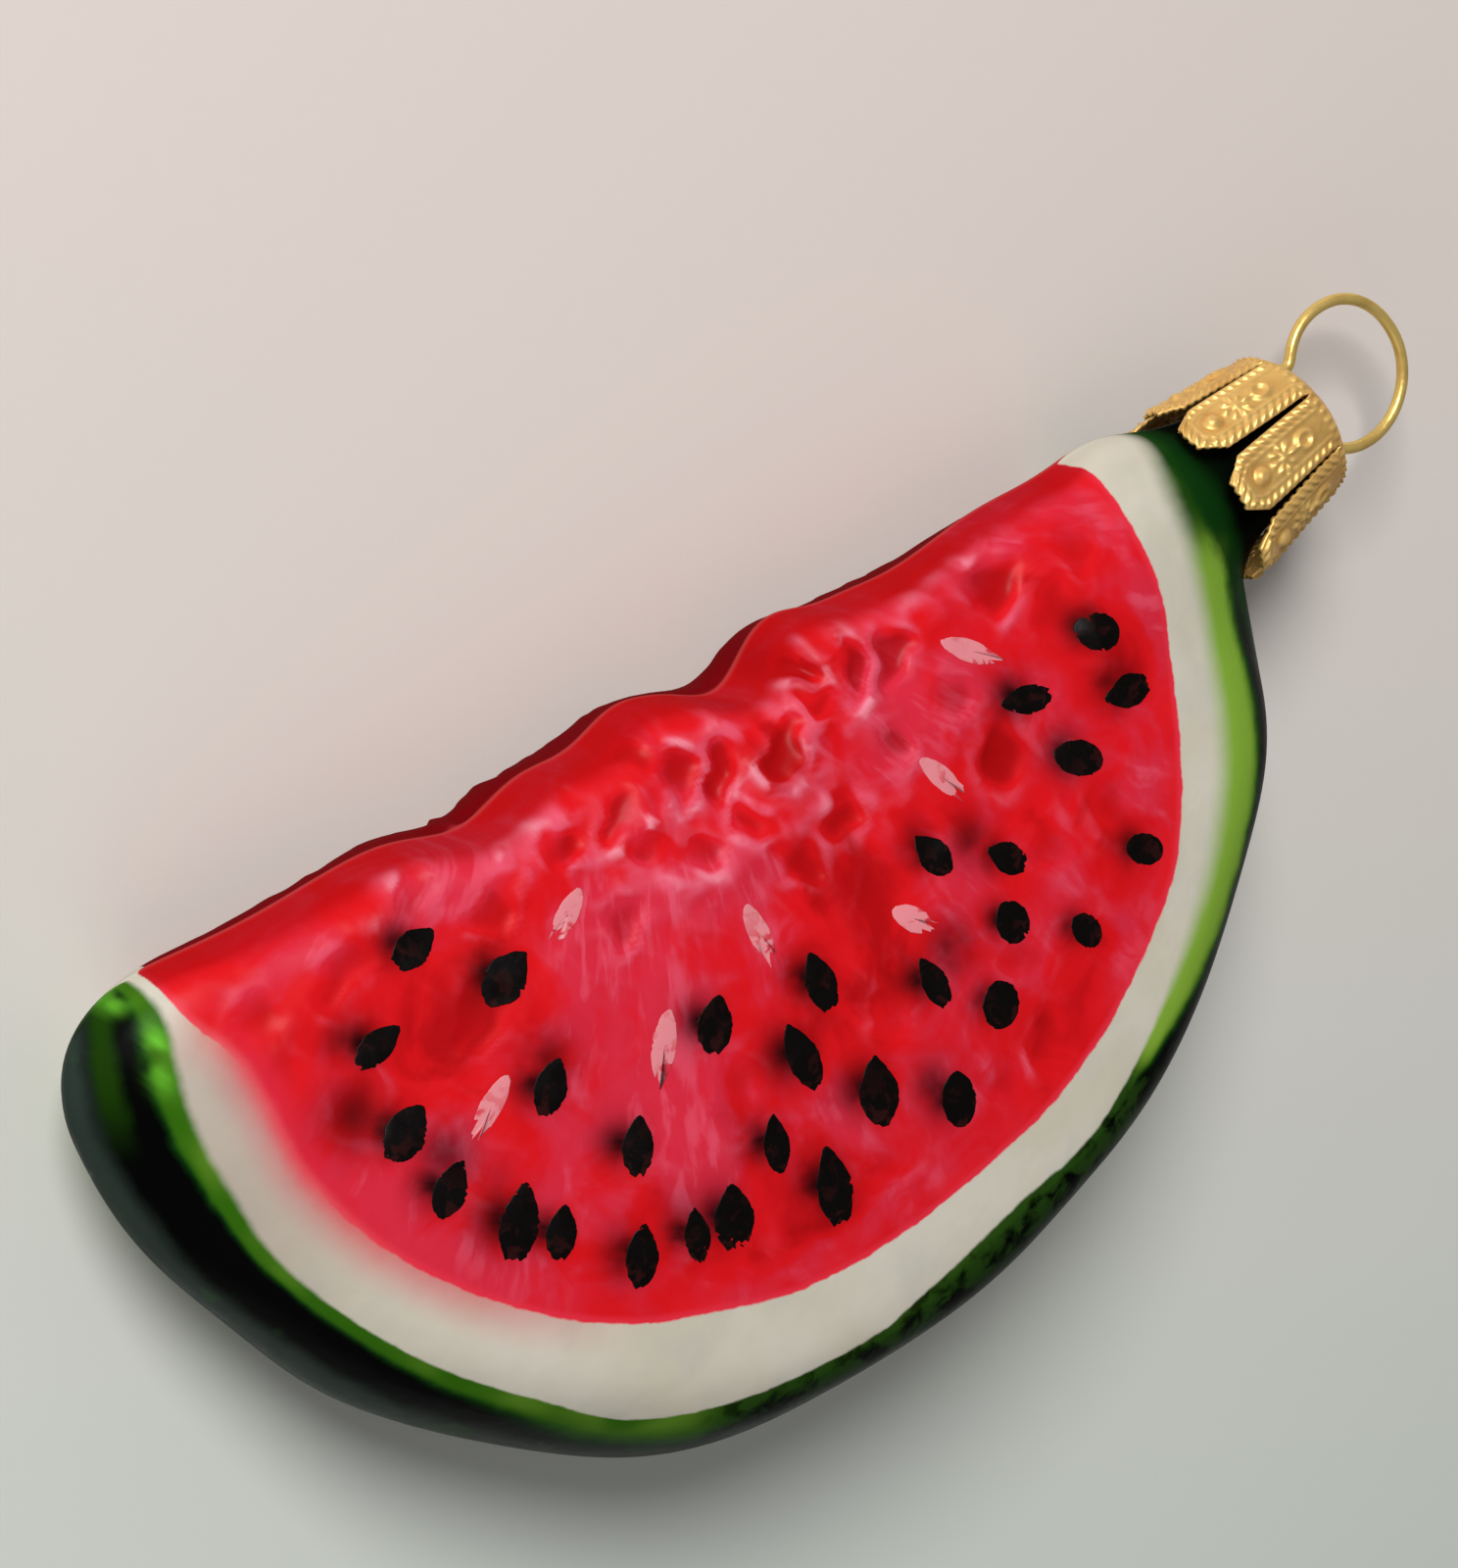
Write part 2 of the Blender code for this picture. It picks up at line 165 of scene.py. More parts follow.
def attribute(tree, name, output="Fac"):
    node = addNode(tree, "ShaderNodeAttribute", attribute_type="GEOMETRY", attribute_name=name)
    return node.outputs[output]


def newGroup(name, kind, inputs, outputs):
    # inputs are label, socket type and default, outputs are label and socket type
    group = bpy.data.node_groups.new(name, kind)
    for label, socketType, default in inputs:
        socket = group.interface.new_socket(label, in_out="INPUT", socket_type="NodeSocket" + socketType)
        if default is not None:
            socket.default_value = default
    for label, socketType in outputs:
        group.interface.new_socket(label, in_out="OUTPUT", socket_type="NodeSocket" + socketType)
    return group, addNode(group, "NodeGroupInput").outputs, addNode(group, "NodeGroupOutput").inputs


def useGroup(tree, group, **values):
    return addNode(tree, "ShaderNodeGroup", values, node_tree=group)


def newMaterial(name):
    material = bpy.data.materials.new(name)
    material.use_nodes = True
    return material, material.node_tree, material.node_tree.nodes["Principled BSDF"]


def linkObject(name, mesh):
    obj = bpy.data.objects.new(name, mesh)
    bpy.context.scene.collection.objects.link(obj)
    return obj


def evaluatedMesh(source):
    # what the modifiers make, as a plain mesh
    bpy.context.view_layer.update()
    depsgraph = bpy.context.evaluated_depsgraph_get()
    return bpy.data.meshes.new_from_object(source.evaluated_get(depsgraph), depsgraph=depsgraph)


def meshFrom(bm, name):
    mesh = bpy.data.meshes.new(name)
    bm.to_mesh(mesh)
    bm.free()
    mesh.shade_smooth()
    return mesh


def turnFacesOut(mesh):
    bm = bmesh.new()
    bm.from_mesh(mesh)
    bmesh.ops.recalc_face_normals(bm, faces=bm.faces)
    bm.to_mesh(mesh)
    bm.free()


def bakeToMesh(name, source, extra=()):
    # the source's closed mesh as a finished object, laid down in the row's frame
    mesh = evaluatedMesh(source)
    mesh.name = name
    turnFacesOut(mesh)
    mesh.transform(mouldToRow)
    for obj in (source, *extra):
        bpy.data.objects.remove(obj)
    return linkObject(name, mesh)


def giveNodes(obj, group, **values):
    # a Geometry Nodes modifier with its inputs set by their names
    modifier = obj.modifiers.new(group.name, "NODES")
    modifier.node_group = group
    for item in group.interface.items_tree:
        if item.item_type == "SOCKET" and item.in_out == "INPUT" and item.name in values:
            modifier[item.identifier] = values[item.name]


# glass body: shape

glass = dict(
    outlineCentre=(3.3, -7.4), outlineHalfLength=51.4, outlineDepth=46.4, cornerRounding=9.0,
    edgeHalfThickness=4.2, wedgeHalfAngle=math.radians(9.5),
    pillowHeight=3.2, pillowCentreY=-22.0, pillowHalfDepth=30.0, rindCrown=5.8, creaseRounding=3.0,
    fleshCentre=(2.7, -4.5), fleshHalfLength=41.7, fleshDepth=36.9, reliefFade=8.0, backShift=5.4,
    neckBase=(55.3, -5.6), neckTurn=math.radians(9.7), neckRadius=5.2, neckLength=9.0,
    neckReachInside=16.0, neckRootRounding=6.0, wall=1.0, innerSmoothing=0.5, flatDepth=0.35,
    sharpAngle=math.radians(60.0),
    leftHub=(-34.0, -11.0), hubFromNeckBase=18.0, spineDip=9.0, hubFlatness=0.7, spineFlatness=0.5,
    shoulderLastAngle=math.radians(24.0), neckFirstRingGap=1.0,
    seamHeight=0.09, seamWidth=0.3, seamShift=0.8,      # raised line where the two mould halves met
    backSlope=0.06, edgeRaise=0.15, calmBack=0.3,       # the cut edge behind the seam is lower and calmer
)
glassGrid = dict(rays=264, fanRings=36, spineRings=225, shoulderRings=34, neckRings=10, innerRays=66, innerEvery=6,
                 reach=80.0, step=1.0, bisections=16, band=3.0)

# where the rind stands out of its ellipse or stays inside it: centre, half widths, height
rindSwells = (
    (50.4, -23.5, 10.0, 9.0, 2.0), (-17.0, -51.0, 12.0, 9.0, 1.5), (-45.0, -27.0, 7.0, 8.0, -0.8),
    (20.0, -51.0, 7.0, 8.0, -0.6),
)

# waves of the cut edge: centre along x, half width, height
edgeWaves = (
    (-31.0, 7.0, -0.5), (-13.5, 4.5, -1.8), (-4.0, 3.0, -0.5), (1.4, 3.3, 0.9), (9.3, 3.2, -1.8), (15.5, 3.6, 1.5),
    (21.8, 3.4, 0.4), (36.0, 7.0, 1.3), (47.5, 6.0, 1.8),
)

# broad lumps and dents of the flesh, as in the solid: centre x, centre y, radius, height
fleshLumps = (
    (12.2, 0.2, 2.4, -1.1), (8.6, 0.6, 2.2, 0.7), (12.6, -4.0, 2.2, 0.7), (16.0, -0.4, 2.0, 0.7),
    (19.6, -3.3, 2.2, -0.8), (16.8, -5.6, 2.2, 0.5), (10.0, -6.4, 2.4, 0.8), (6.9, -5.4, 2.0, 0.6),
    (3.9, -5.4, 2.2, -0.9), (0.4, -2.4, 2.4, -0.7), (-3.0, -4.6, 2.6, 0.7), (-7.5, -3.0, 2.6, -0.5),
    (-3.0, -9.8, 2.4, 0.7), (1.6, -10.6, 2.4, 0.8), (6.0, -9.4, 2.4, 0.7), (7.4, -13.0, 2.6, -0.8),
    (11.8, -12.0, 2.4, -0.6), (10.8, -17.0, 2.6, -0.6), (26.0, -13.7, 3.4, -0.9), (29.8, -1.4, 3.2, -1.0),
    (25.4, -1.2, 2.6, 0.5), (33.6, -4.0, 3.0, 0.5), (22.6, -8.6, 3.0, 0.5), (20.4, -33.6, 3.2, -0.6),
    (15.4, -22.0, 3.0, 0.4), (-12.0, -5.2, 3.0, 0.5), (-16.4, -1.2, 3.2, 0.5), (-20.6, -5.6, 3.0, -0.5),
    (-26.0, -1.6, 3.4, 0.5), (-31.0, -6.0, 3.2, 0.6), (-33.6, -10.6, 3.0, 0.5), (-24.4, -12.6, 3.4, -0.4),
    (-13.4, -13.0, 3.4, 0.4), (-6.0, -15.6, 3.2, 0.4), (-17.0, -22.6, 3.4, -0.4), (-9.6, -27.4, 3.4, 0.4),
    (0.4, -30.0, 3.2, -0.4), (10.0, -29.0, 3.4, 0.4), (29.6, -22.4, 3.4, 0.4), (35.8, -14.6, 3.2, -0.4),
)

# crisp dimples with a raised rim: centre x, centre y, half width, half height, turn in degrees, depth
fleshDimples = (
    (12.9, 0.0, 1.7, 1.5, 0, 0.50), (17.2, -2.3, 1.2, 2.0, -25, 0.50), (20.4, -3.2, 1.2, 2.2, -35, 0.45),
    (12.8, -3.2, 1.3, 1.2, 20, 0.35), (8.9, -5.0, 1.9, 1.5, 30, 0.50), (17.2, -8.3, 1.5, 1.6, 0, 0.35),
    (4.0, -4.5, 1.1, 2.2, -20, 0.45), (0.5, -3.0, 1.5, 1.7, 20, 0.35), (-4.8, -4.2, 1.7, 1.4, 10, 0.35),
    (-10.0, -3.6, 1.6, 1.3, 0, 0.30), (4.1, -8.5, 1.3, 1.5, 0, 0.30), (25.8, -13.5, 2.3, 2.1, 0, 0.40),
    (31.0, -1.8, 2.2, 1.9, 20, 0.40), (11.2, -11.4, 1.5, 1.7, 30, 0.35), (7.2, -12.6, 1.5, 1.3, 0, 0.30),
    (-3.4, -6.9, 1.6, 1.2, 0, 0.30), (-1.6, -0.4, 1.4, 1.0, 0, 0.25), (-0.6, -8.0, 1.4, 1.2, 0, 0.30),
    (20.2, -34.0, 1.6, 2.6, -35, 0.30), (20.8, -27.1, 1.8, 1.5, 0, 0.22), (16.6, -14.4, 1.6, 2.2, 20, 0.25),
    (-16.0, -5.0, 2.0, 1.4, 20, 0.25), (-13.6, 0.4, 1.8, 1.1, 15, 0.25), (-21.6, -2.4, 2.0, 1.2, 20, 0.22),
    (-27.6, -4.6, 2.4, 1.4, 20, 0.25), (-34.6, -5.0, 1.7, 1.8, 0, 0.25), (-8.2, -9.8, 1.6, 1.6, 0, 0.25),
    (-20.0, -11.6, 2.2, 1.8, 0, 0.20), (35.4, -6.0, 1.9, 2.2, 0, 0.22), (24.0, -7.4, 1.8, 1.6, 0, 0.25),
    (33.0, -20.6, 2.0, 2.4, 0, 0.22), (26.4, -21.0, 1.9, 1.7, 0, 0.2), (8.6, -24.6, 1.9, 2.2, 0, 0.2),
    (-5.6, -25.2, 2.0, 2.2, 0, 0.2), (-14.2, -29.0, 1.9, 1.7, 0, 0.2), (15.2, -34.2, 1.9, 1.5, 0, 0.2),
    (-24.6, -21.0, 2.2, 1.8, 0, 0.2), (3.2, -35.6, 2.2, 1.3, 0, 0.2), (38.6, -2.2, 1.6, 1.8, 0, 0.22),
    (28.4, -30.0, 1.9, 1.8, 0, 0.2), (-30.6, -12.8, 1.8, 2.0, 0, 0.2), (-11.2, -35.2, 2.2, 1.2, 0, 0.2),
)
dimple = dict(depthShare=0.8, rimHeight=0.34, rimWidth=0.34, broadShare=0.6)
# network of fine ridges between pressed cells, strongest along the middle of the cut edge
ridges = dict(seed=5, cell=2.9, width=1.0, height=0.19, centre=(1.5, -4.5), halfLong=19.0, halfWide=8.5, elsewhere=0.3)
# longer folds that stand out above the network, and their width and height
folds = dict(width=0.8, height=0.18)
foldLines = (
    ((-6.5, -7.7), (-5.1, -9.1), (-2.1, -9.8), (0.5, -10.4), (2.0, -9.1), (4.4, -9.6), (5.0, -7.9)),
    ((-6.0, -5.6), (-4.1, -4.7), (-2.0, -5.3), (-0.2, -4.2), (1.4, -5.2), (3.4, -3.3), (4.1, -2.3), (1.6, -1.2)),
    ((9.4, 0.5), (12.4, 1.5), (14.9, -0.7), (14.4, -1.8), (12.1, -3.0), (9.9, -2.7), (9.2, -1.2)),
    ((16.6, 0.4), (18.2, -0.6), (18.4, -2.4), (17.7, -4.9), (14.6, -5.5)),
    ((6.2, -5.6), (7.8, -7.0), (9.8, -6.9), (11.2, -5.4)), ((7.4, -9.8), (9.6, -10.1), (13.8, -11.1)),
    ((-7.8, 0.2), (-6.3, 0.5), (-3.4, 1.1)), ((22.4, -1.2), (23.5, -0.2), (26.1, -0.1), (28.4, 0.4), (32.6, -0.6)),
    ((-14.6, -2.6), (-12.0, -1.4), (-9.2, -1.8)), ((-25.6, -3.0), (-22.4, -0.6), (-19.0, -0.9)),
)

fleshBorder = (
    (-39.6, 8.0), (-39.6, 1.0), (-38.9, -2.7), (-37.2, -6.5), (-36.8, -10.5), (-36.5, -15.3), (-34.7, -20.4),
    (-32.3, -24.4), (-28.1, -29.4), (-23.6, -33.3), (-18.7, -36.3), (-13.4, -38.3), (-6.1, -40.4), (2.6, -40.7),
    (10.0, -39.8), (18.5, -38.1), (26.4, -34.6), (33.2, -29.9), (37.1, -26.0), (41.2, -18.1), (43.8, -9.7),
    (44.1, -2.4), (43.8, 1.1), (42.4, 3.3), (41.4, 8.0),
)
whiteBorder = (
    (-40.7, 8.0), (-40.9, 1.3), (-40.5, -2.1), (-41.2, -5.2), (-41.9, -9.5), (-41.5, -15.0), (-40.5, -20.3),
    (-37.3, -26.7), (-33.0, -32.7), (-27.4, -38.3), (-21.6, -43.3), (-13.2, -46.0), (-2.6, -47.0), (3.4, -46.0),
    (12.6, -43.8), (19.4, -42.7), (25.3, -40.0), (34.9, -33.4), (40.9, -27.9), (45.3, -20.9), (48.0, -12.7),
    (49.0, -6.7), (49.5, -2.2), (50.8, 1.6), (51.4, 8.0),
)


def broadRelief(x, y):
    return sum(lump * bell(x, y, centreX, centreY, radius, radius) for centreX, centreY, radius, lump in fleshLumps)


def warp(x, y):
    # bends the relief's plan, so that no dent is plainly round
    bentX = x + 0.55 * np.sin(0.9 * y + 0.7) + 0.26 * np.sin(1.5 * x + 1.7 * y)
    bentY = y + 0.50 * np.sin(0.8 * x + 1.9) + 0.24 * np.sin(1.7 * x - 1.4 * y + 0.5)
    return bentX, bentY


def ridgeRelief(x, y):
    draw = np.random.default_rng(ridges["seed"])
    cell = ridges["cell"]
    nearest = np.full(len(x), 1e9)
    second = np.full(len(x), 1e9)
    for column in np.arange(-46.0, 52.0, cell):
        for row in np.arange(-44.0, 8.0, cell):
            centreX = column + draw.uniform(-0.45, 0.45) * cell
            centreY = row + draw.uniform(-0.45, 0.45) * cell
            close = np.abs(x - centreX) < 3.0 * cell
            reach = np.hypot(x[close] - centreX, (y[close] - centreY) * 0.85)
            first = nearest[close]
            second[close] = np.minimum(second[close], np.maximum(first, reach))
            nearest[close] = np.minimum(first, reach)
    ridge = np.exp(-(((second - nearest) / ridges["width"]) ** 2))
    centre = ridges["centre"]
    reach = ((x - centre[0]) / ridges["halfLong"]) ** 2 + ((y - centre[1]) / ridges["halfWide"]) ** 2
    strength = ridges["elsewhere"] + (1.0 - ridges["elsewhere"]) * np.exp(-(reach**2))
    patchy = 0.55 + 0.45 * np.sin(0.55 * x + 0.31 * y + 1.0) * np.sin(0.47 * y - 0.4 * x)
    return ridges["height"] * strength * patchy * (ridge - 0.3)


def foldRelief(x, y):
    height = np.zeros_like(x)
    for line in foldLines:
        height = np.maximum(height, np.exp(-squaredDistance(x, y, line) / folds["width"] ** 2))
    return folds["height"] * height * (0.75 + 0.25 * np.sin(1.9 * x + 1.1 * y))


def crispRelief(x, y):
    height = np.zeros_like(x)
    for centreX, centreY, halfWide, halfHigh, turn, depth in fleshDimples:
        across, along = turned(x, y, (centreX, centreY), math.radians(turn))
        reach = np.hypot(across / halfWide, along / halfHigh)
        bowl = -depth * dimple["depthShare"] * np.exp(-(reach**4))
        lip = dimple["rimHeight"] * depth * np.exp(-(((reach - 1.3) / dimple["rimWidth"]) ** 2))
        height += bowl + lip * (0.6 + 0.4 * np.sin(2.3 * np.arctan2(along, across) + centreX))
    return height


def seamAt(y):
    # the seam sits a little behind the middle along the cut edge
    return -glass["seamShift"] * smooth(-7.0, -1.0, y)


def fleshFade(x, y):
    centre = glass["fleshCentre"]
    reach = np.hypot((x - centre[0]) / glass["fleshHalfLength"], (y - centre[1]) / glass["fleshDepth"])
    return np.clip((1.0 - reach) * glass["reliefFade"], 0.0, 1.0)


def fleshRelief(x, y, z, kind):
    along = np.where(z >= seamAt(y), x, glass["backShift"] - x)
    bentX, bentY = warp(along, y)
    halfBent = 0.5 * (along + bentX), 0.5 * (y + bentY)
    if kind == "broad":
        return dimple["broadShare"] * broadRelief(*halfBent) * fleshFade(x, y)
    return (crispRelief(bentX, bentY) + ridgeRelief(bentX, bentY) + foldRelief(*halfBent)) * fleshFade(x, y)


def plainHalfThickness(x, y):
    across = ((x - glass["outlineCentre"][0]) / glass["outlineHalfLength"]) ** 2
    down = ((y - glass["pillowCentreY"]) / glass["pillowHalfDepth"]) ** 2
    pillow = glass["pillowHeight"] * np.clip(1.0 - across - down, 0.0, 1.0)
    return glass["edgeHalfThickness"] - np.minimum(y, 2.0) * math.tan(glass["wedgeHalfAngle"]) + pillow


def glassField(points, detailed):
    # signed distance, near enough, to the outside of the glass: negative inside
    x, y, z = points.T
    localX = x - glass["outlineCentre"][0]
    localY = y - glass["outlineCentre"][1]
    ratio = np.hypot(localX / glass["outlineHalfLength"], localY / glass["outlineDepth"]) + 1e-9
    slope = np.hypot(localX / glass["outlineHalfLength"]**2, localY / glass["outlineDepth"]**2) / ratio + 1e-9
    thickness = plainHalfThickness(x, y)
    if detailed:
        thickness = thickness + fleshRelief(x, y, z, "broad")
    rind = (ratio - 1.0) / slope + glass["rindCrown"] * (z / thickness) ** 2
    for swellX, swellY, halfX, halfY, height in rindSwells:
        rind = rind - height * bell(x, y, swellX, swellY, halfX, halfY)
    face = (np.abs(z) - thickness) * math.cos(glass["wedgeHalfAngle"])
    waves = sum(height * np.exp(-(((x - at) / width) ** 2)) for at, width, height in edgeWaves)
    cutEdge = y - waves
    if detailed:
        cutEdge = cutEdge + glass["backSlope"] * np.clip(seamAt(y) - z, 0.0, None) - glass["edgeRaise"]
        cutEdge = cutEdge + glass["calmBack"] * waves * smooth(0.0, 1.6, seamAt(y) - z)
    wedge = softMax(softMax(rind, cutEdge, glass["cornerRounding"]), face, glass["creaseRounding"])
    along, aside = turned(x, y, glass["neckBase"], glass["neckTurn"])
    neck = np.maximum(np.hypot(aside, z) - glass["neckRadius"], -along - glass["neckReachInside"])
    return softMin(wedge, neck, glass["neckRootRounding"])


def outwards(points):
    normal = np.zeros_like(points)
    for axis in range(3):
        shift = np.zeros(3)
        shift[axis] = 0.05
        normal[:, axis] = glassField(points + shift, True) - glassField(points - shift, True)
    return normal / (np.linalg.norm(normal, axis=1)[:, None] + 1e-12)


def fineRelief(points, normal):
    # the fine relief dies out on the wall of the cut edge
    return fleshRelief(*points.T, "fine") * smooth(0.12, 0.5, np.abs(normal[:, 2]))


def pressRelief(points):
    # moves the surface along its own normal by the fine relief and the raised seam
    flat = points.reshape(-1, 3)
    normal = outwards(flat)
    y, z = flat[:, 1], flat[:, 2]
    height = fineRelief(flat, normal)
    height += glass["seamHeight"] * np.exp(-(((z - seamAt(y)) / glass["seamWidth"]) ** 2))
    return (flat + normal * height[:, None]).reshape(points.shape)


def onNeckAxis(height, aside=0.0, out=0.0):
    turn = glass["neckTurn"]
    x = glass["neckBase"][0] + height * math.cos(turn) - aside * math.sin(turn)
    y = glass["neckBase"][1] + height * math.sin(turn) + aside * math.cos(turn)
    return (x, y, out)


def ringStations():
    # hub, axis angle, cone angle and flatness of each ring of rays
    leftHub, rightHub = glass["leftHub"], onNeckAxis(-glass["hubFromNeckBase"])[:2]
    hubFlatness, turn, square = glass["hubFlatness"], glass["neckTurn"], 0.5 * math.pi
    stations = []
    for ring in range(1, glassGrid["fanRings"] + 1):
        share = ring / (glassGrid["fanRings"] + 1)
        stations.append((leftHub, 0.0, math.pi - square * share, 1.0 - (1.0 - hubFlatness) * share))
    for ring in range(glassGrid["spineRings"] + 1):
        share = ring / glassGrid["spineRings"]
        swell = math.sin(math.pi * share)
        x = leftHub[0] + (rightHub[0] - leftHub[0]) * share
        y = leftHub[1] + (rightHub[1] - leftHub[1]) * share - glass["spineDip"] * swell
        flatness = hubFlatness - (hubFlatness - glass["spineFlatness"]) * swell
        stations.append(((x, y), turn * share, square, flatness))
    lastAngle = glass["shoulderLastAngle"]
    for ring in range(1, glassGrid["shoulderRings"] + 1):
        share = ring / glassGrid["shoulderRings"]
        cone = square + (lastAngle - square) * share
        stations.append((rightHub, turn, cone, hubFlatness + (1.0 - hubFlatness) * share))
    start = glass["neckFirstRingGap"] - glass["hubFromNeckBase"] + glass["neckRadius"] / math.tan(lastAngle)
    for ring in range(glassGrid["neckRings"] + 1):
        height = start + (glass["neckLength"] - start) * ring / glassGrid["neckRings"]
        stations.append((onNeckAxis(height)[:2], turn, square, 1.0))
    return stations


def castRings(stations, rays, depth, detailed):
    # every ring's points where its rays leave the surface that lies depth inside the glass
    turn = np.linspace(0.0, 2.0 * math.pi, rays, endpoint=False)
    starts, ways = [], []
    for hub, axisAngle, cone, flatness in stations:
        axis = np.array([math.cos(axisAngle), math.sin(axisAngle), 0.0])
        aside = np.array([-math.sin(axisAngle), math.cos(axisAngle), 0.0])
        spread = np.outer(np.cos(turn), aside) + np.outer(flatness * np.sin(turn), [0.0, 0.0, 1.0])
        way = math.cos(cone) * axis + math.sin(cone) * spread
        ways.append(way / np.linalg.norm(way, axis=1)[:, None])
        starts.append(np.tile([hub[0], hub[1], 0.0], (rays, 1)))
    starts, ways = np.concatenate(starts), np.concatenate(ways)
    outside = np.full(len(starts), glassGrid["reach"])
    found = np.zeros(len(starts), dtype=bool)
    for distance in np.arange(glassGrid["step"], glassGrid["reach"], glassGrid["step"]):
        todo = np.flatnonzero(~found)
        if not len(todo):
            break
        beyond = glassField(starts[todo] + ways[todo] * distance, False) > -depth
        outside[todo[beyond]] = distance
        found[todo[beyond]] = True
    band = glassGrid["band"] if detailed else 0.0
    inside = np.maximum(outside - glassGrid["step"] - band, 0.0)
    outside = outside + band
    for _ in range(glassGrid["bisections"]):
        middle = 0.5 * (inside + outside)
        beyond = glassField(starts + ways * middle[:, None], detailed) > -depth
        outside = np.where(beyond, middle, outside)
        inside = np.where(beyond, inside, middle)
    return (starts + ways * outside[:, None]).reshape(len(stations), rays, 3)


def layFlatSpot(points):
    down = np.array([0.0, math.sin(glass["wedgeHalfAngle"]), -math.cos(glass["wedgeHalfAngle"])])
    depth = points @ down
    excess = np.clip(depth - (depth.max() - glass["flatDepth"]), 0.0, None)
    return points - excess[..., None] * down


def tubeFaces(start, rings, rays):
    # four-sided faces between neighbouring rings of points
    faces = []
    for first in range(start, start + (rings - 1) * rays, rays):
        for ray in range(rays):
            after = (ray + 1) % rays
            faces.append((first + ray, first + rays + ray, first + rays + after, first + after))
    return faces


def makeGlassMesh():
    rays, innerRays, every = glassGrid["rays"], glassGrid["innerRays"], glassGrid["innerEvery"]
    stations = ringStations()
    outer = layFlatSpot(pressRelief(castRings(stations, rays, 0.0, True)))
    kept = sorted(set(range(every, len(stations), every)) | {len(stations) - 1})
    deep = glass["wall"] + glass["innerSmoothing"]
    inner = castRings([stations[at] for at in kept], innerRays, deep, False)
    inner[-1] = castRings([stations[-1]], innerRays, glass["wall"], False)[0]
    leftTip = [(glass["leftHub"], 0.0, math.pi, 1.0)]
    tips = [castRings(leftTip, 1, depth, False)[0] for depth in (0.0, deep)]
    innerStart = len(outer) * rays
    tipAt = innerStart + len(inner) * innerRays
    faces = tubeFaces(0, len(outer), rays)
    faces += [(tipAt, ray, (ray + 1) % rays) for ray in range(rays)]
    ratio = rays // innerRays
    last = innerStart - rays
    for ray in range(innerRays):          # the rim of the neck's mouth
        after = (ray + 1) % innerRays
        span = [last + (ray * ratio + step) % rays for step in range(ratio + 1)]
        faces.append((*span[::-1], innerStart + ray, innerStart + after)[::-1])
    faces += tubeFaces(innerStart, len(inner), innerRays)
    last = tipAt - innerRays
    faces += [(last + ray, tipAt + 1, last + (ray + 1) % innerRays) for ray in range(innerRays)]
    places = np.concatenate([outer.reshape(-1, 3), inner[::-1].reshape(-1, 3), *tips])
    mesh = bpy.data.meshes.new("glassBody")
    mesh.from_pydata((places * mm).tolist(), [], faces)
    turnFacesOut(mesh)
    mesh.shade_smooth()
    mesh.set_sharp_from_angle(angle=glass["sharpAngle"])
    return mesh, places


# glass body: where the paints meet

def smoothLoop(points, steps=6):
    # closed Catmull-Rom line through the points
    points = np.array(points)
    line = []
    for index in range(len(points)):
        a, b, c, d = (points[(index + shift) % len(points)] for shift in (-1, 0, 1, 2))
        for step in range(steps):
            t = step / steps
            curve = (2 * a - 5 * b + 4 * c - d) * t**2 + (3 * b - a - 3 * c + d) * t**3
            line.append(0.5 * (2 * b + (c - a) * t + curve))
    return np.array(line)


def distanceInside(x, y, loop):
    # distance to the loop, positive inside it
    closed = np.vstack([loop, loop[:1]])
    inside = np.zeros(len(x), dtype=bool)
    for (ax, ay), (bx, by) in zip(closed[:-1], closed[1:]):
        crosses = (ay > y) != (by > y)
        if crosses.any():
            inside ^= crosses & (x < ax + (y - ay) * (bx - ax) / (by - ay))
    return np.sqrt(squaredDistance(x, y, closed)) * np.where(inside, 1.0, -1.0)


def bothSides(x, z, work):
    # front and back carry the same paint, the back mirrored, blended over the mould seam
    front = work(x)
    back = work(glass["backShift"] - x)
    share = smooth(-0.35, 0.35, z)       # z is taken from the seam
    return front * share + back * (1.0 - share)


# seeds: x, y, length, width, angle of the ragged end in degrees
blackSeeds = (
    (37.4, -8.6, 3.9, 2.9, -25), (38.0, -13.8, 4.3, 2.6, -9), (29.4, -10.5, 4.5, 2.2, -17),
    (31.6, -16.2, 4.5, 2.7, -26), (16.6, -16.8, 3.7, 2.6, -72), (22.3, -19.8, 3.6, 2.4, -47),
    (33.9, -24.8, 3.7, 2.4, -27), (20.6, -24.2, 3.4, 3.0, -66), (26.4, -27.8, 3.2, 2.4, -52),
    (12.5, -25.0, 4.2, 2.2, -82), (17.1, -29.2, 3.6, 3.4, -92), (10.9, -33.8, 4.3, 3.0, -96),
    (5.0, -30.0, 5.2, 3.3, -109), (4.0, -20.7, 4.5, 2.6, -94), (-4.9, -19.6, 4.2, 2.9, -128),
    (0.4, -24.8, 5.3, 2.6, -88), (-4.1, -29.5, 4.3, 2.2, -109), (-1.1, -34.6, 6.0, 3.0, -102),
    (-13.9, -24.6, 4.3, 2.4, -121), (-18.0, -17.9, 4.2, 2.5, -136), (-17.6, -9.8, 4.5, 3.0, -159),
    (-22.6, -5.2, 3.8, 2.5, -168), (-28.0, -9.9, 4.1, 2.2, -168), (-28.8, -16.0, 4.4, 3.0, -153),
    (-27.6, -20.9, 4.2, 2.5, -144), (-24.1, -25.3, 5.6, 3.0, -126), (-21.6, -27.4, 3.9, 2.4, -125),
    (-16.8, -31.8, 4.6, 2.6, -121), (-12.4, -32.5, 4.0, 2.1, -108), (-9.3, -32.7, 4.9, 3.3, -108),
)
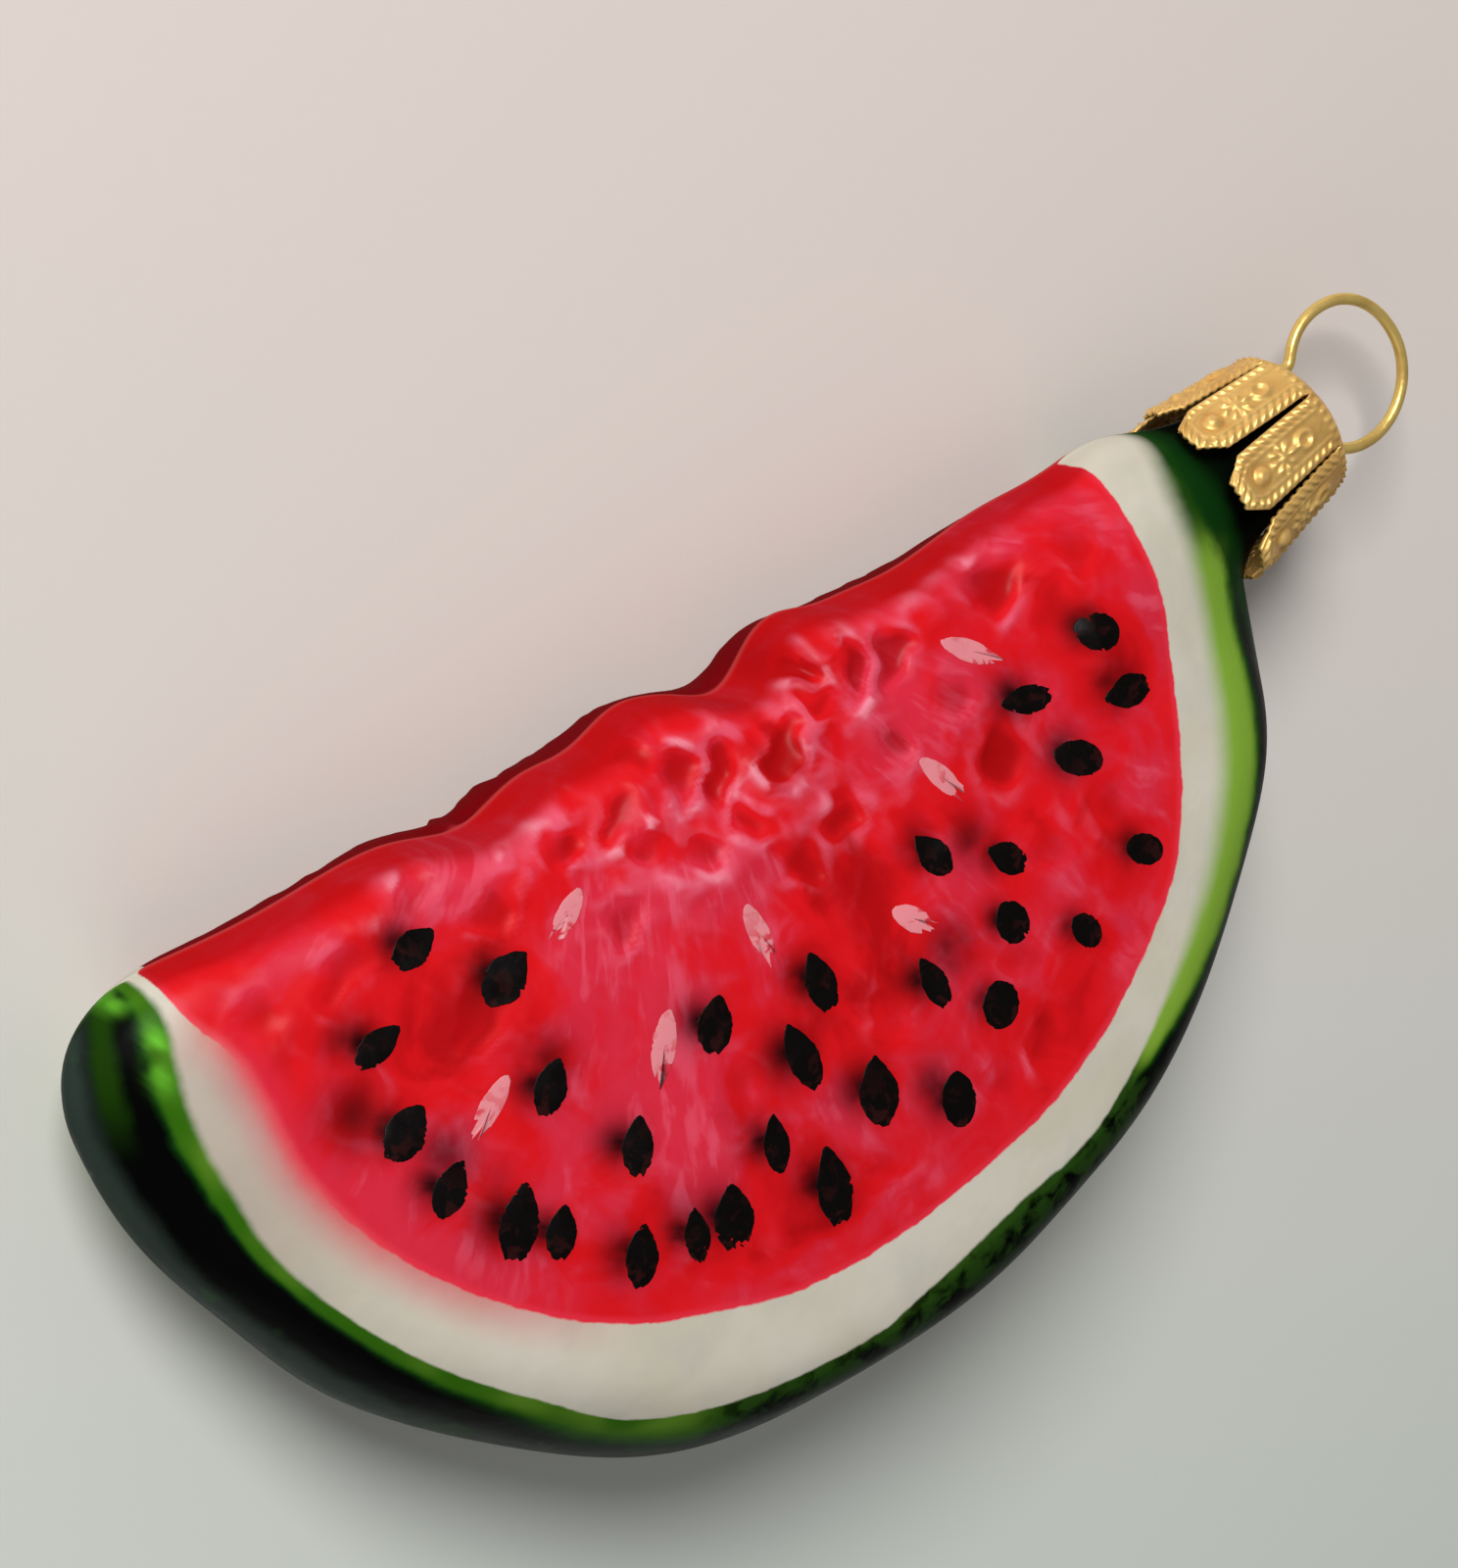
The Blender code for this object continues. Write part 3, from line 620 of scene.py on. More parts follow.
paleSeeds = (
    (26.6, -5.3, 4.9, 1.7, -42), (19.9, -12.2, 4.4, 1.7, -62), (12.9, -20.1, 3.4, 1.9, -48),
    (1.1, -15.3, 4.4, 1.7, -89), (-9.1, -19.1, 5.0, 1.9, -127), (-11.5, -7.8, 3.9, 1.6, -147),
    (-22.5, -17.1, 4.8, 1.6, -148),
)
roundSeeds = (0, 3, 6, 7, 8, 10, 11)       # these are blobs without a ragged end
seedShadow = dict(shift=(-1.1, 0.8), radius=1.75, usualLength=4.3, bigStrength=0.75)
bigShadows = ((-31.6, -13.4, 2.6), (-17.5, -16.2, 2.2), (-27.0, -18.6, 2.2), (-12.6, -31.6, 2.2), (20.0, -17.2, 2.0),
              (14.8, -23.4, 2.2), (-30.0, -8.6, 1.8), (9.2, -31.6, 1.8))

# airbrushed washes over the flesh: x, y, half length, half width, turn in degrees, strength,
# pink where the strength is above 0 and deep red below
fleshWashes = (
    (-12.3, -13.0, 8.0, 5.0, 60, 0.50), (-7.0, -19.0, 8.0, 3.0, 80, 0.50), (-17.0, -2.0, 6.0, 3.0, 25, 0.50),
    (-4.0, -9.8, 8.0, 1.6, -5, 0.65), (17.5, -6.4, 5.0, 3.0, 60, 0.60), (23.4, -7.0, 4.5, 3.5, 40, 0.60),
    (27.8, -14.8, 6.0, 2.6, 10, 0.45), (17.8, -20.0, 4.5, 3.5, 70, 0.60), (-10.9, -27.6, 5.0, 3.0, 90, 0.55),
    (1.5, -30.0, 5.0, 3.5, 80, 0.60), (34.0, 0.2, 5.0, 1.6, 20, 0.45), (-30.0, -3.0, 5.0, 2.0, 10, 0.35),
    (-24.0, -20.5, 6.0, 2.5, -50, 0.45), (4.0, -12.0, 4.0, 1.6, 0, 0.45), (36.0, -19.5, 3.0, 4.0, 60, 0.30),
    (8.0, 0.8, 3.5, 1.2, 30, 0.50), (-2.5, -4.4, 5.0, 2.0, 0, 0.35), (22.0, -25.5, 4.0, 2.5, 60, 0.30),
    (-20.7, -2.7, 4.0, 2.2, 20, 0.45), (-7.8, 1.6, 4.0, 1.4, 5, 0.55), (26.4, -23.8, 4.5, 2.6, 50, 0.50),
    (39.3, -0.8, 2.6, 2.4, 60, 0.55), (28.2, -32.0, 5.5, 2.0, 40, 0.50), (-33.1, -19.4, 4.5, 2.0, -65, 0.60),
    (-27.8, -28.2, 5.0, 2.0, -50, 0.60), (-12.2, -22.4, 4.5, 3.0, 75, 0.45), (13.6, -26.2, 4.0, 2.4, 80, 0.45),
    (34.7, -7.1, 3.0, 1.8, 70, 0.40), (42.6, -8.0, 7.0, 1.6, 85, 0.60), (0.0, -38.8, 16.0, 1.6, 0, 0.45),
    (1.0, -15.5, 3.5, 2.6, 80, 0.35), (30.8, -0.6, 3.4, 1.4, 15, 0.40),
    (9.6, -16.0, 8.0, 3.2, -75, -0.75), (7.0, -23.6, 5.0, 3.0, 80, -0.40), (25.8, -13.6, 2.8, 2.2, 0, -0.80),
    (-22.0, -12.2, 7.0, 3.5, 30, -0.55), (38.8, -11.0, 3.0, 5.0, 10, -0.55), (2.0, -24.5, 3.0, 5.0, 0, -0.45),
    (29.6, -22.0, 6.0, 3.0, 70, -0.35), (-28.5, -8.0, 5.0, 3.0, 0, -0.30),
    (-5.0, -37.0, 14.0, 2.2, 2, -0.30), (22.0, -34.0, 8.0, 2.4, 35, -0.35), (34.0, -7.0, 3.5, 4.0, 0, -0.35),
    (13.0, -1.0, 2.0, 1.6, 0, -0.50), (8.5, -5.4, 2.4, 1.8, 0, -0.55), (-14.0, -6.6, 4.0, 2.2, 20, -0.25),
)

# rind: angle round the rim in degrees and how fast the green darkens to black there
greenRate = (
    (-180, 1.2), (-108, 1.2), (-95, 1.3), (-85, 1.9), (-65, 1.5), (-50, 0.85), (-38, 0.42), (-26, 0.4), (-18, 1.5),
    (-8, 2.2), (4, 2.6), (14, 3.4), (22, 4.8), (33, 4.8), (37, 1.8), (46, 1.0), (60, 0.95), (80, 0.9), (93, 1.1),
    (110, 1.2), (180, 1.2),
)
# painted green highlights at the left end, and the clear green beside the neck: x, y, half widths, strength
brightSpots = ((-41.3, -3.3, 0.6, 1.0, 0.9), (-42.1, -5.5, 0.7, 1.2, 0.55), (-42.3, -0.5, 0.8, 0.5, 0.7))
neckSpot = (50.3, -3.8, 2.4, 3.4)


def seedHalo(x, y):
    shade = np.zeros_like(x)
    shiftX, shiftY = seedShadow["shift"]
    for seedX, seedY, length, _, _ in blackSeeds:
        radius = seedShadow["radius"] * length / seedShadow["usualLength"]
        shade = np.maximum(shade, bell(x, y, seedX + shiftX, seedY + shiftY, radius, radius))
    for spotX, spotY, radius in bigShadows:
        shade = np.maximum(shade, seedShadow["bigStrength"] * bell(x, y, spotX, spotY, radius, radius))
    return shade


def washes(x, y):
    total = np.zeros_like(x)
    for washX, washY, halfLong, halfWide, turn, strength in fleshWashes:
        along, across = turned(x, y, (washX, washY), math.radians(turn))
        total += strength * bell(along, across, 0.0, 0.0, halfLong, halfWide)
    return np.clip(total, -1.0, 1.0)


def paintAttributes(mesh, places):
    x, y, z = places.T
    fleshLoop, whiteLoop = smoothLoop(fleshBorder), smoothLoop(whiteBorder)
    fromSeam = z - seamAt(y)
    alongX = np.where(fromSeam >= 0.0, x, glass["backShift"] - x)
    thickness = plainHalfThickness(x, y)
    normal = outwards(places)
    whiteEdge = -bothSides(x, fromSeam, lambda at: distanceInside(at, y, whiteLoop))
    # the angle is 0 at the bottom of the rind, below 0 at the left and above 0 at the neck's side
    rimAngle = np.degrees(np.arctan2(alongX - glass["outlineCentre"][0], glass["outlineCentre"][1] - y))
    greenHighlights = [strength * bell(alongX, y, *spot) for *spot, strength in brightSpots]
    values = dict(
        fleshEdge=bothSides(x, fromSeam, lambda at: distanceInside(at, y, fleshLoop)),
        rindWay=whiteEdge + 0.9 * np.clip(thickness - np.abs(z), 0.0, None) * smooth(-0.5, 1.5, whiteEdge),
        relief=fleshRelief(x, y, z, "broad"),
        press=fineRelief(places, normal),
        # edgeWall marks the wall of the cut edge, which gets painted shade, more roughness and less coat
        edgeWall=(1.0 - smooth(0.3, 0.85, np.abs(normal[:, 2]))) * smooth(-9.0, -5.0, y),
        halo=seedHalo(alongX, y) * smooth(0.5, 2.0, np.abs(z)),
        wash=washes(alongX, y),
        seam=np.exp(-((fromSeam / 0.22) ** 2)),
        # painted shade on the cut edge behind the seam
        behind=smooth(0.1, 0.5, -fromSeam) * smooth(-6.0, -2.0, y),
        # the flesh's edge is airbrushed at the lower left only
        haze=between(-99.0, -89.0, -62.0, -34.0, rimAngle),
        blur=between(-99.0, -89.0, -80.0, -62.0, rimAngle),
        # softness of the white's edge in millimetres, wide at the right
        greenSoft=0.25 + 1.9 * smooth(36.0, 62.0, rimAngle) + 0.5 * (1.0 - smooth(-88.0, -60.0, rimAngle)),
        # apple green at the right only, and none of it beside the neck
        apple=between(33.0, 40.0, 89.0, 94.0, rimAngle),
        leftEnd=between(-114.0, -107.0, -94.0, -86.0, rimAngle),
        # how fast the green band darkens outwards
        rate=np.interp(rimAngle, *np.array(greenRate).T),
        # mottled and dark from the bottom of the rind to where the apple green starts
        darkRim=between(-31.0, -23.0, 33.0, 38.0, rimAngle),
        # painted reflection: slate sheen of the rind, at the left only
        sheen=0.15 + 0.85 * (1.0 - smooth(-58.0, -38.0, rimAngle)),
        leftSpot=np.max(greenHighlights, axis=0),
        nearNeck=smooth(86.0, 93.0, rimAngle) * smooth(-9.0, -6.0, y),
        neckSpot=bell(alongX, y, *neckSpot),
        neckWay=turned(x, y, glass["neckBase"], glass["neckTurn"])[0],
    )
    for name, value in values.items():
        layer = mesh.attributes.new(name, "FLOAT", "POINT")
        layer.data.foreach_set("value", value.astype(np.float32))
    # brushing runs out from a place above the middle of the cut edge
    fromX, fromY = alongX - 4.0, y - 16.0
    streaks = np.stack([np.degrees(np.arctan2(fromX, -fromY)), np.hypot(fromX, fromY), z], axis=1)
    for name, value in (("streakPlace", streaks), ("paintPlace", np.stack([alongX, y, z], axis=1))):
        layer = mesh.attributes.new(name, "FLOAT_VECTOR", "POINT")
        layer.data.foreach_set("vector", value.astype(np.float32).ravel())
    return tuple(values)


# paints and metals

def makeBrushGroup():
    # long soft brush marks along the second axis of the given place
    group, given, out = newGroup(
        "brushMarks", "ShaderNodeTree",
        (("Place", "Vector", None), ("Across", "Float", 1.0), ("Along", "Float", 0.1), ("Contrast", "Float", 1.0)),
        (("Mask", "Float"),))
    stretch = addNode(group, "ShaderNodeCombineXYZ", {0: given["Across"], 1: given["Along"], 2: 0.05})
    scaled = addNode(group, "ShaderNodeVectorMath", {0: given["Place"], 1: stretch.outputs[0]}, operation="MULTIPLY")
    marks = noise(group, scaled.outputs[0], 1.0, 3.0, 0.55, 0.3)
    strong = calc(group, "ADD", swing(group, marks, given["Contrast"]), 0.5)
    group.links.new(fade(group, strong, 0.25, 0.75), out["Mask"])
    return group


def makeLacquerGroup():
    # fine unevenness of hand-laid lacquer, as a height and as a change of roughness
    group, given, out = newGroup(
        "lacquer", "ShaderNodeTree",
        (("Place", "Vector", None), ("Wave", "Float", 0.25), ("Grain", "Float", 2.2),
         ("Roughness", "Float", 0.35), ("Change", "Float", 0.1)),
        (("Height", "Float"), ("Roughness", "Float")))
    wave = noise(group, given["Place"], given["Wave"], 2.0, 0.5, 0.4)
    grain = noise(group, given["Place"], given["Grain"], 3.0, 0.6)
    group.links.new(calc(group, "MULTIPLY_ADD", grain, 0.12, wave), out["Height"])
    change = calc(group, "ADD", swing(group, wave, given["Change"]), swing(group, grain, given["Change"]))
    group.links.new(calc(group, "ADD", change, given["Roughness"]), out["Roughness"])
    return group


brushMarks = makeBrushGroup()
lacquer = makeLacquerGroup()

# unevenness of each finish: wave, grain, change of roughness, bump strength, bump distance in metres
films = dict(glass=(0.35, 2.4, 0.14, 0.12, 0.0006), seed=(500.0, 2500.0, 0.2, 0.12, 0.0002),
             gold=(700.0, 3000.0, 0.22, 0.25, 0.0002))


def layFilm(tree, shader, place, colour, roughness, kind, dull=None):
    # colour, bump and roughness of a finish, rougher where it is dull
    wave, grain, change, strength, distance = films[kind]
    film = useGroup(tree, lacquer, Place=place, Wave=wave, Grain=grain, Roughness=roughness, Change=change)
    bump = addNode(tree, "ShaderNodeBump", dict(Strength=strength, Distance=distance, Height=film.outputs["Height"]))
    rough = film.outputs["Roughness"]
    if dull is not None:
        rough = calc(tree, "MULTIPLY_ADD", dull, 0.5, rough, clamp=True)
    for value, name in ((colour, "Base Color"), (rough, "Roughness"), (bump.outputs["Normal"], "Normal")):
        tree.links.new(value, shader.inputs[name])


glassPaint = dict(
    white=paint(208, 202, 188), whiteWarm=paint(200, 193, 175), whiteCool=paint(184, 184, 174),
    red=paint(217, 19, 27), deepRed=paint(164, 8, 12), pink=paint(212, 42, 64), palePink=paint(230, 96, 122),
    crestHighlight=paint(244, 156, 174), mist=paint(208, 66, 84), shadow=paint(26, 4, 6), rimRed=paint(228, 32, 42),
    rimPink=paint(228, 50, 70), shadedWallRed=paint(104, 3, 9), leftShade=paint(160, 142, 132),
    apple=paint(132, 172, 58), leaf=paint(48, 98, 12), bright=paint(110, 196, 52), bottle=paint(12, 50, 12),
    black=paint(2, 3, 2), slate=paint(50, 62, 56), moss=paint(36, 66, 18), grey=paint(150, 148, 140),
    roughness=0.4, coat=0.1, coatOnBare=0.015, coatRoughness=0.32, specular=0.02,
)
# how strongly each touch of paint covers what is under it
covers = dict(
    whiteCool=0.4, leftShade=0.55, deepWash=0.8, streaks=0.42, ridge=0.62, crest=0.7, border=0.75, borderLine=0.75,
    edgeWall=0.7, behind=0.95, secondBand=0.32, stripes=0.25, neckSpot=0.9, seam=0.14,
)


def whiteBand(tree, place, maps):
    # a little pearly and uneven, greyer at the left
    white = blend(tree, fade(tree, noise(tree, place, 0.09, 3.0, 0.5, 0.6), 0.35, 0.65), glassPaint["whiteWarm"],
                  glassPaint["white"])
    cool = fade(tree, noise(tree, place, 0.22), 0.45, 0.75)
    white = tint(tree, white, glassPaint["whiteCool"], cool, covers["whiteCool"])
    return tint(tree, white, glassPaint["leftShade"], maps["blur"], covers["leftShade"])


def fleshColour(tree, place, maps):
    # red ground, pink washes in radial brushing, deep red in the dents as pooled lacquer and painted shade, pale pink
    # on the ridges as paint and painted highlight
    p, press, edge = glassPaint, maps["press"], maps["fleshEdge"]
    streak = attribute(tree, "streakPlace", "Vector")
    fineMarks = useGroup(tree, brushMarks, Place=streak, Across=0.5, Along=0.2, Contrast=1.3).outputs[0]
    wideMarks = useGroup(tree, brushMarks, Place=streak, Across=0.2, Along=0.09, Contrast=1.4).outputs[0]
    patch = noise(tree, place, 0.16, 3.0, 0.55, 0.9)
    washed = calc(tree, "ADD", maps["wash"], swing(tree, patch, 1.9, 0.44))
    washed = calc(tree, "ADD", washed, swing(tree, wideMarks, 0.3))
    flesh = blend(tree, fade(tree, washed, -0.05, 0.7, 0.0, 0.95), p["red"], p["pink"])
    flesh = tint(tree, flesh, p["deepRed"], fade(tree, washed, -0.02, -0.7), covers["deepWash"])
    streaks = calc(tree, "MULTIPLY", fade(tree, fineMarks, 0.4, 1.0), fade(tree, washed, 0.2, 0.8))
    flesh = tint(tree, flesh, p["palePink"], streaks, covers["streaks"])
    # deep red in the broad and the fine dents: pooled lacquer, and painted shade in the low places
    flesh = tint(tree, flesh, p["deepRed"], fade(tree, maps["relief"], -0.15, -0.8, 0.0, 0.6))
    flesh = tint(tree, flesh, p["deepRed"], fade(tree, press, -0.05, -0.3, 0.0, 0.75))
    # pale pink on the ridges: thicker paint, and a painted highlight
    ridge = calc(tree, "MULTIPLY", fade(tree, press, 0.0, 0.17), fade(tree, patch, 0.3, 0.6))
    flesh = tint(tree, flesh, p["palePink"], ridge, covers["ridge"])
    # painted highlight along the crests of the ridges
    crest = calc(tree, "MULTIPLY", fade(tree, press, 0.1, 0.3), fade(tree, noise(tree, place, 0.4), 0.42, 0.6))
    flesh = tint(tree, flesh, p["crestHighlight"], crest, covers["crest"])
    # a lighter rim along the border, and a thin pink line on it
    patchyRim = calc(tree, "MAXIMUM", fade(tree, noise(tree, place, 0.2), 0.35, 0.7), maps["haze"])
    nearBorder = calc(tree, "MULTIPLY", fade(tree, edge, 3.2, 0.4), patchyRim)
    flesh = tint(tree, flesh, blend(tree, maps["haze"], p["rimRed"], p["pink"]), nearBorder, covers["border"])
    flesh = tint(tree, flesh, p["rimPink"], fade(tree, edge, 0.75, 0.15), covers["borderLine"])
    smoke = fade(tree, noise(tree, place, 0.35), 0.2, 0.55, 0.55)
    flesh = tint(tree, flesh, p["shadow"], calc(tree, "MULTIPLY", maps["halo"], smoke))
    # painted shade: the wall of the cut edge turns deep red
    flesh = tint(tree, flesh, p["deepRed"], maps["edgeWall"], covers["edgeWall"])
    # painted shade on the back half of the cut edge, behind the seam
    return tint(tree, flesh, p["shadedWallRed"], maps["behind"], covers["behind"])


def fleshOnWhite(tree, place, maps):
    # the flesh ends in a brushed edge, airbrushed at the lower left
    edge = calc(tree, "ADD", maps["fleshEdge"], swing(tree, noise(tree, place, 0.55, 4.0, 0.6), 0.55))
    crispEdge = fade(tree, edge, -0.1, 0.12)
    mist = calc(tree, "MULTIPLY", fade(tree, edge, -3.4, 0.6, 0.0, 0.7), maps["haze"])
    white = tint(tree, whiteBand(tree, place, maps), glassPaint["mist"], mist)
    softShare = calc(tree, "SUBTRACT", fade(tree, edge, -1.3, 1.0), crispEdge)
    fleshMask = calc(tree, "MULTIPLY_ADD", softShare, maps["blur"], crispEdge)
    return blend(tree, fleshMask, white, fleshColour(tree, place, maps))


def rindColour(tree, place, maps, unevenWay):
    # apple green, then bottle green, black, and a painted reflection as a slate sheen towards the seam
    p, apple = glassPaint, maps["apple"]
    way = calc(tree, "ADD", maps["rindWay"], calc(tree, "MULTIPLY", unevenWay, fade(tree, maps["rindWay"], 0.5, 3.0)))
    scaled = calc(tree, "SUBTRACT", way, calc(tree, "MULTIPLY", maps["greenSoft"], 0.9))
    scaled = calc(tree, "MULTIPLY", scaled, maps["rate"])
    scaled = calc(tree, "MULTIPLY_ADD", apple, -0.45, calc(tree, "MULTIPLY_ADD", maps["nearNeck"], 2.2, scaled))
    mottle = fade(tree, noise(tree, place, 0.16, 1.0), 0.4, 0.75, 0.0, 0.35)
    green = tint(tree, blend(tree, mottle, p["leaf"], p["apple"]), p["apple"], apple)
    for name, low, high in (("leaf", 0.2, 2.4), ("bottle", 1.2, 2.8), ("black", 1.9, 3.6)):
        green = tint(tree, green, p[name], fade(tree, scaled, low, high))
    mossy = blend(tree, fade(tree, noise(tree, place, 0.42, 3.0, 0.6, 0.4), 0.42, 0.62), p["moss"], p["black"])
    green = tint(tree, green, mossy, calc(tree, "MULTIPLY", maps["darkRim"], fade(tree, way, 7.0, 2.0, 0.0, 0.88)))
    # painted green highlights at the left end
    highlightShare = calc(tree, "MULTIPLY", maps["leftSpot"], fade(tree, noise(tree, place, 0.4, 1.0), 0.3, 0.55))
    green = tint(tree, green, p["bright"], highlightShare)
    # a second faint green band at the left end, the painted reflection of the slate sheen, and faint stripes over it
    again = calc(tree, "MULTIPLY", fade(tree, way, 4.2, 5.8), fade(tree, way, 8.2, 6.4))
    green = tint(tree, green, p["leaf"], calc(tree, "MULTIPLY", again, maps["leftEnd"]), covers["secondBand"])
    # painted reflection: slate sheen towards the seam, mostly at the left
    slate = calc(tree, "MULTIPLY", fade(tree, way, 6.5, 9.5, 0.0, 0.85), maps["sheen"])
    green = tint(tree, green, p["slate"], slate)
    stripes = fade(tree, noise(tree, place, 0.14, 3.0, 0.55, 1.2), 0.56, 0.68)
    stripes = calc(tree, "MULTIPLY", stripes, fade(tree, way, 5.0, 8.0))
    green = tint(tree, green, p["leaf"], stripes, covers["stripes"])
    # bottle green, then black at the neck
    nearCap = calc(tree, "ADD", maps["neckWay"], unevenWay)
    green = tint(tree, green, p["bottle"], fade(tree, nearCap, -5.4, -3.8, 0.0, 0.9))
    green = tint(tree, green, p["black"], fade(tree, nearCap, -3.2, -0.9))
    return tint(tree, green, p["bottle"], maps["neckSpot"], covers["neckSpot"])


def makeGlassPaint(mapNames):
    material, tree, shader = newMaterial("paintedGlass")
    place = attribute(tree, "paintPlace", "Vector")
    maps = {name: attribute(tree, name) for name in mapNames}
    unevenWay = swing(tree, noise(tree, place, 0.3, 4.0, 0.6, 0.4), 1.6)
    unevenEdge = swing(tree, noise(tree, place, 0.8, 3.0), 0.35)
    start, end = (calc(tree, "MULTIPLY", maps["greenSoft"], share) for share in (-1.0, 0.35))
    greenMask = fade(tree, calc(tree, "ADD", maps["rindWay"], unevenEdge), start, end)
    neckMask = fade(tree, calc(tree, "ADD", maps["neckWay"], unevenEdge), -5.2, -3.2)
    rindMask = calc(tree, "MAXIMUM", greenMask, neckMask)
    colour = tint(tree, fleshOnWhite(tree, place, maps), rindColour(tree, place, maps, unevenWay), rindMask)
    # painted highlight along the raised mould seam
    colour = tint(tree, colour, glassPaint["grey"], maps["seam"], covers["seam"])
    wall = calc(tree, "MAXIMUM", maps["edgeWall"], maps["behind"])
    dull = calc(tree, "MAXIMUM", wall, fade(tree, maps["press"], -0.02, -0.2, 0.0, 0.6))
    layFilm(tree, shader, place, colour, glassPaint["roughness"], "glass", dull)
    bare = calc(tree, "MAXIMUM", rindMask, wall)
    lessCoat = glassPaint["coatOnBare"] - glassPaint["coat"]
    tree.links.new(calc(tree, "MULTIPLY_ADD", bare, lessCoat, glassPaint["coat"]), shader.inputs["Coat Weight"])
    shader.inputs["Specular IOR Level"].default_value = glassPaint["specular"]
    shader.inputs["Coat Roughness"].default_value = glassPaint["coatRoughness"]
    return material


seedPaint = dict(
    black=dict(body=paint(4, 1, 1), thin=paint(46, 12, 11), thinShare=0.55, roughness=0.4, shine=0.16),
    pale=dict(body=paint(226, 134, 142), thin=paint(206, 52, 68), thinShare=1.0, roughness=0.45, shine=0.4),
)


def makeSeedPaint(name, given):
    # thick paint that thins out towards its ragged end
    material, tree, shader = newMaterial(name)
    parts = addNode(tree, "ShaderNodeSeparateXYZ", {0: attribute(tree, "blankPlace", "Vector")})
    spot = addNode(tree, "ShaderNodeTexCoord").outputs["Object"]
    patches = fade(tree, noise(tree, spot, 900.0, 3.0, 0.55, 0.5), 0.5, 0.62)
    towardsTail = fade(tree, parts.outputs[0], -0.4, 0.9)
    thinning = calc(tree, "MULTIPLY", patches, calc(tree, "ADD", towardsTail, 0.35))
    colour = blend(tree, calc(tree, "MULTIPLY", thinning, given["thinShare"], clamp=True), given["body"], given["thin"])
    layFilm(tree, shader, spot, colour, given["roughness"], "seed")
    shader.inputs["Specular IOR Level"].default_value = given["shine"]
    return material


gold = dict(
    stamped=dict(bright=paint(250, 207, 124), deep=paint(220, 158, 76), roughness=0.46, dentShade=0.55),
    wire=dict(bright=paint(240, 206, 120), deep=paint(206, 164, 80), roughness=0.36, dentShade=0.0),
    metallic=0.6,
)


def makeGold(name, tone):
    material, tree, shader = newMaterial(name)
    spot = addNode(tree, "ShaderNodeTexCoord").outputs["Object"]
    share = fade(tree, noise(tree, spot, 260.0, 3.0, 0.6, 0.4), 0.35, 0.75, 0.0, 0.6)
    if tone["dentShade"]:
        # painted shade: the stamped recesses turn to the deep gold
        dents = fade(tree, attribute(tree, "pressed"), 0.1, -0.12, 0.0, tone["dentShade"])
        share = calc(tree, "ADD", share, dents, clamp=True)
    colour = blend(tree, share, tone["bright"], tone["deep"])
    layFilm(tree, shader, spot, colour, tone["roughness"], "gold")
    shader.inputs["Metallic"].default_value = gold["metallic"]
    return material


# seeds: thin raised paint, laid on the glass by Geometry Nodes

seedBlank = dict(
    variants=6, blobs=2, corners=30, shares=(1.0, 0.95, 0.78, 0.56, 0.34, 0.16), thickness=0.036, sunk=0.08, seed=11,
    blobPoint=0.12, point=dict(black=0.5, pale=0.15), ragged=dict(black=0.06, pale=0.3),
)
seedRay = dict(start=40.0 * mm, length=60.0 * mm)


def makeBlank(name, variant, ragged, tapering):
    # a closed blank one unit long and one wide, pointed at -x and ragged at +x
    draw = np.random.default_rng(seedBlank["seed"] + variant)
    corners = seedBlank["corners"]
    around = np.linspace(0.0, 2.0 * math.pi, corners, endpoint=False)
    lean = draw.uniform(-0.12, 0.12)
    if variant < seedBlank["blobs"]:
        tapering, ragged = seedBlank["blobPoint"], 0.15 * ragged
    outline = []
    for angle in around:
        x = 0.5 * math.cos(angle)
        taper = 1.0 - tapering * max(0.0, -math.cos(angle)) ** 1.5
        y = 0.5 * math.sin(angle) * taper + lean * x
        tail = smooth(0.25, 0.5, np.array(x))
        x += float(tail) * draw.uniform(-ragged, ragged * 0.6)
        y += float(tail) * draw.uniform(-0.4, 0.4) * ragged
        outline.append((x + draw.uniform(-0.012, 0.012), y + draw.uniform(-0.02, 0.02)))
    bm = bmesh.new()
    places = bm.verts.layers.float_vector.new("blankPlace")

    def corner(x, y, z):
        vertex = bm.verts.new((x, y, z))
        vertex[places] = (2.0 * x, 2.0 * y, 0.0)
        return vertex

    loops = []
    for share in seedBlank["shares"]:
        height = 1.0 - share**2.5
        loops.append([corner(x * share, y * share, height) for x, y in outline])
    depth = -seedBlank["sunk"] / seedBlank["thickness"]
    under = [corner(x * 0.96, y * 0.96, depth) for x, y in outline]
    top, bottom = corner(0.0, 0.0, 1.0), corner(0.0, 0.0, depth)
    for index in range(corners):
        after = (index + 1) % corners
        for outer, inner in zip(loops[:-1], loops[1:]):
            bm.faces.new((outer[index], outer[after], inner[after], inner[index]))
        bm.faces.new((loops[-1][index], loops[-1][after], top))
        bm.faces.new((under[index], under[after], loops[0][after], loops[0][index]))
        bm.faces.new((under[after], under[index], bottom))
    return meshFrom(bm, name)


def endWithMaterial(group, geometry, given, out):
    finish = addNode(group, "GeometryNodeSetMaterial", {"Geometry": geometry, "Material": given["Material"]})
    group.links.new(finish.outputs[0], out["Geometry"])
    return group


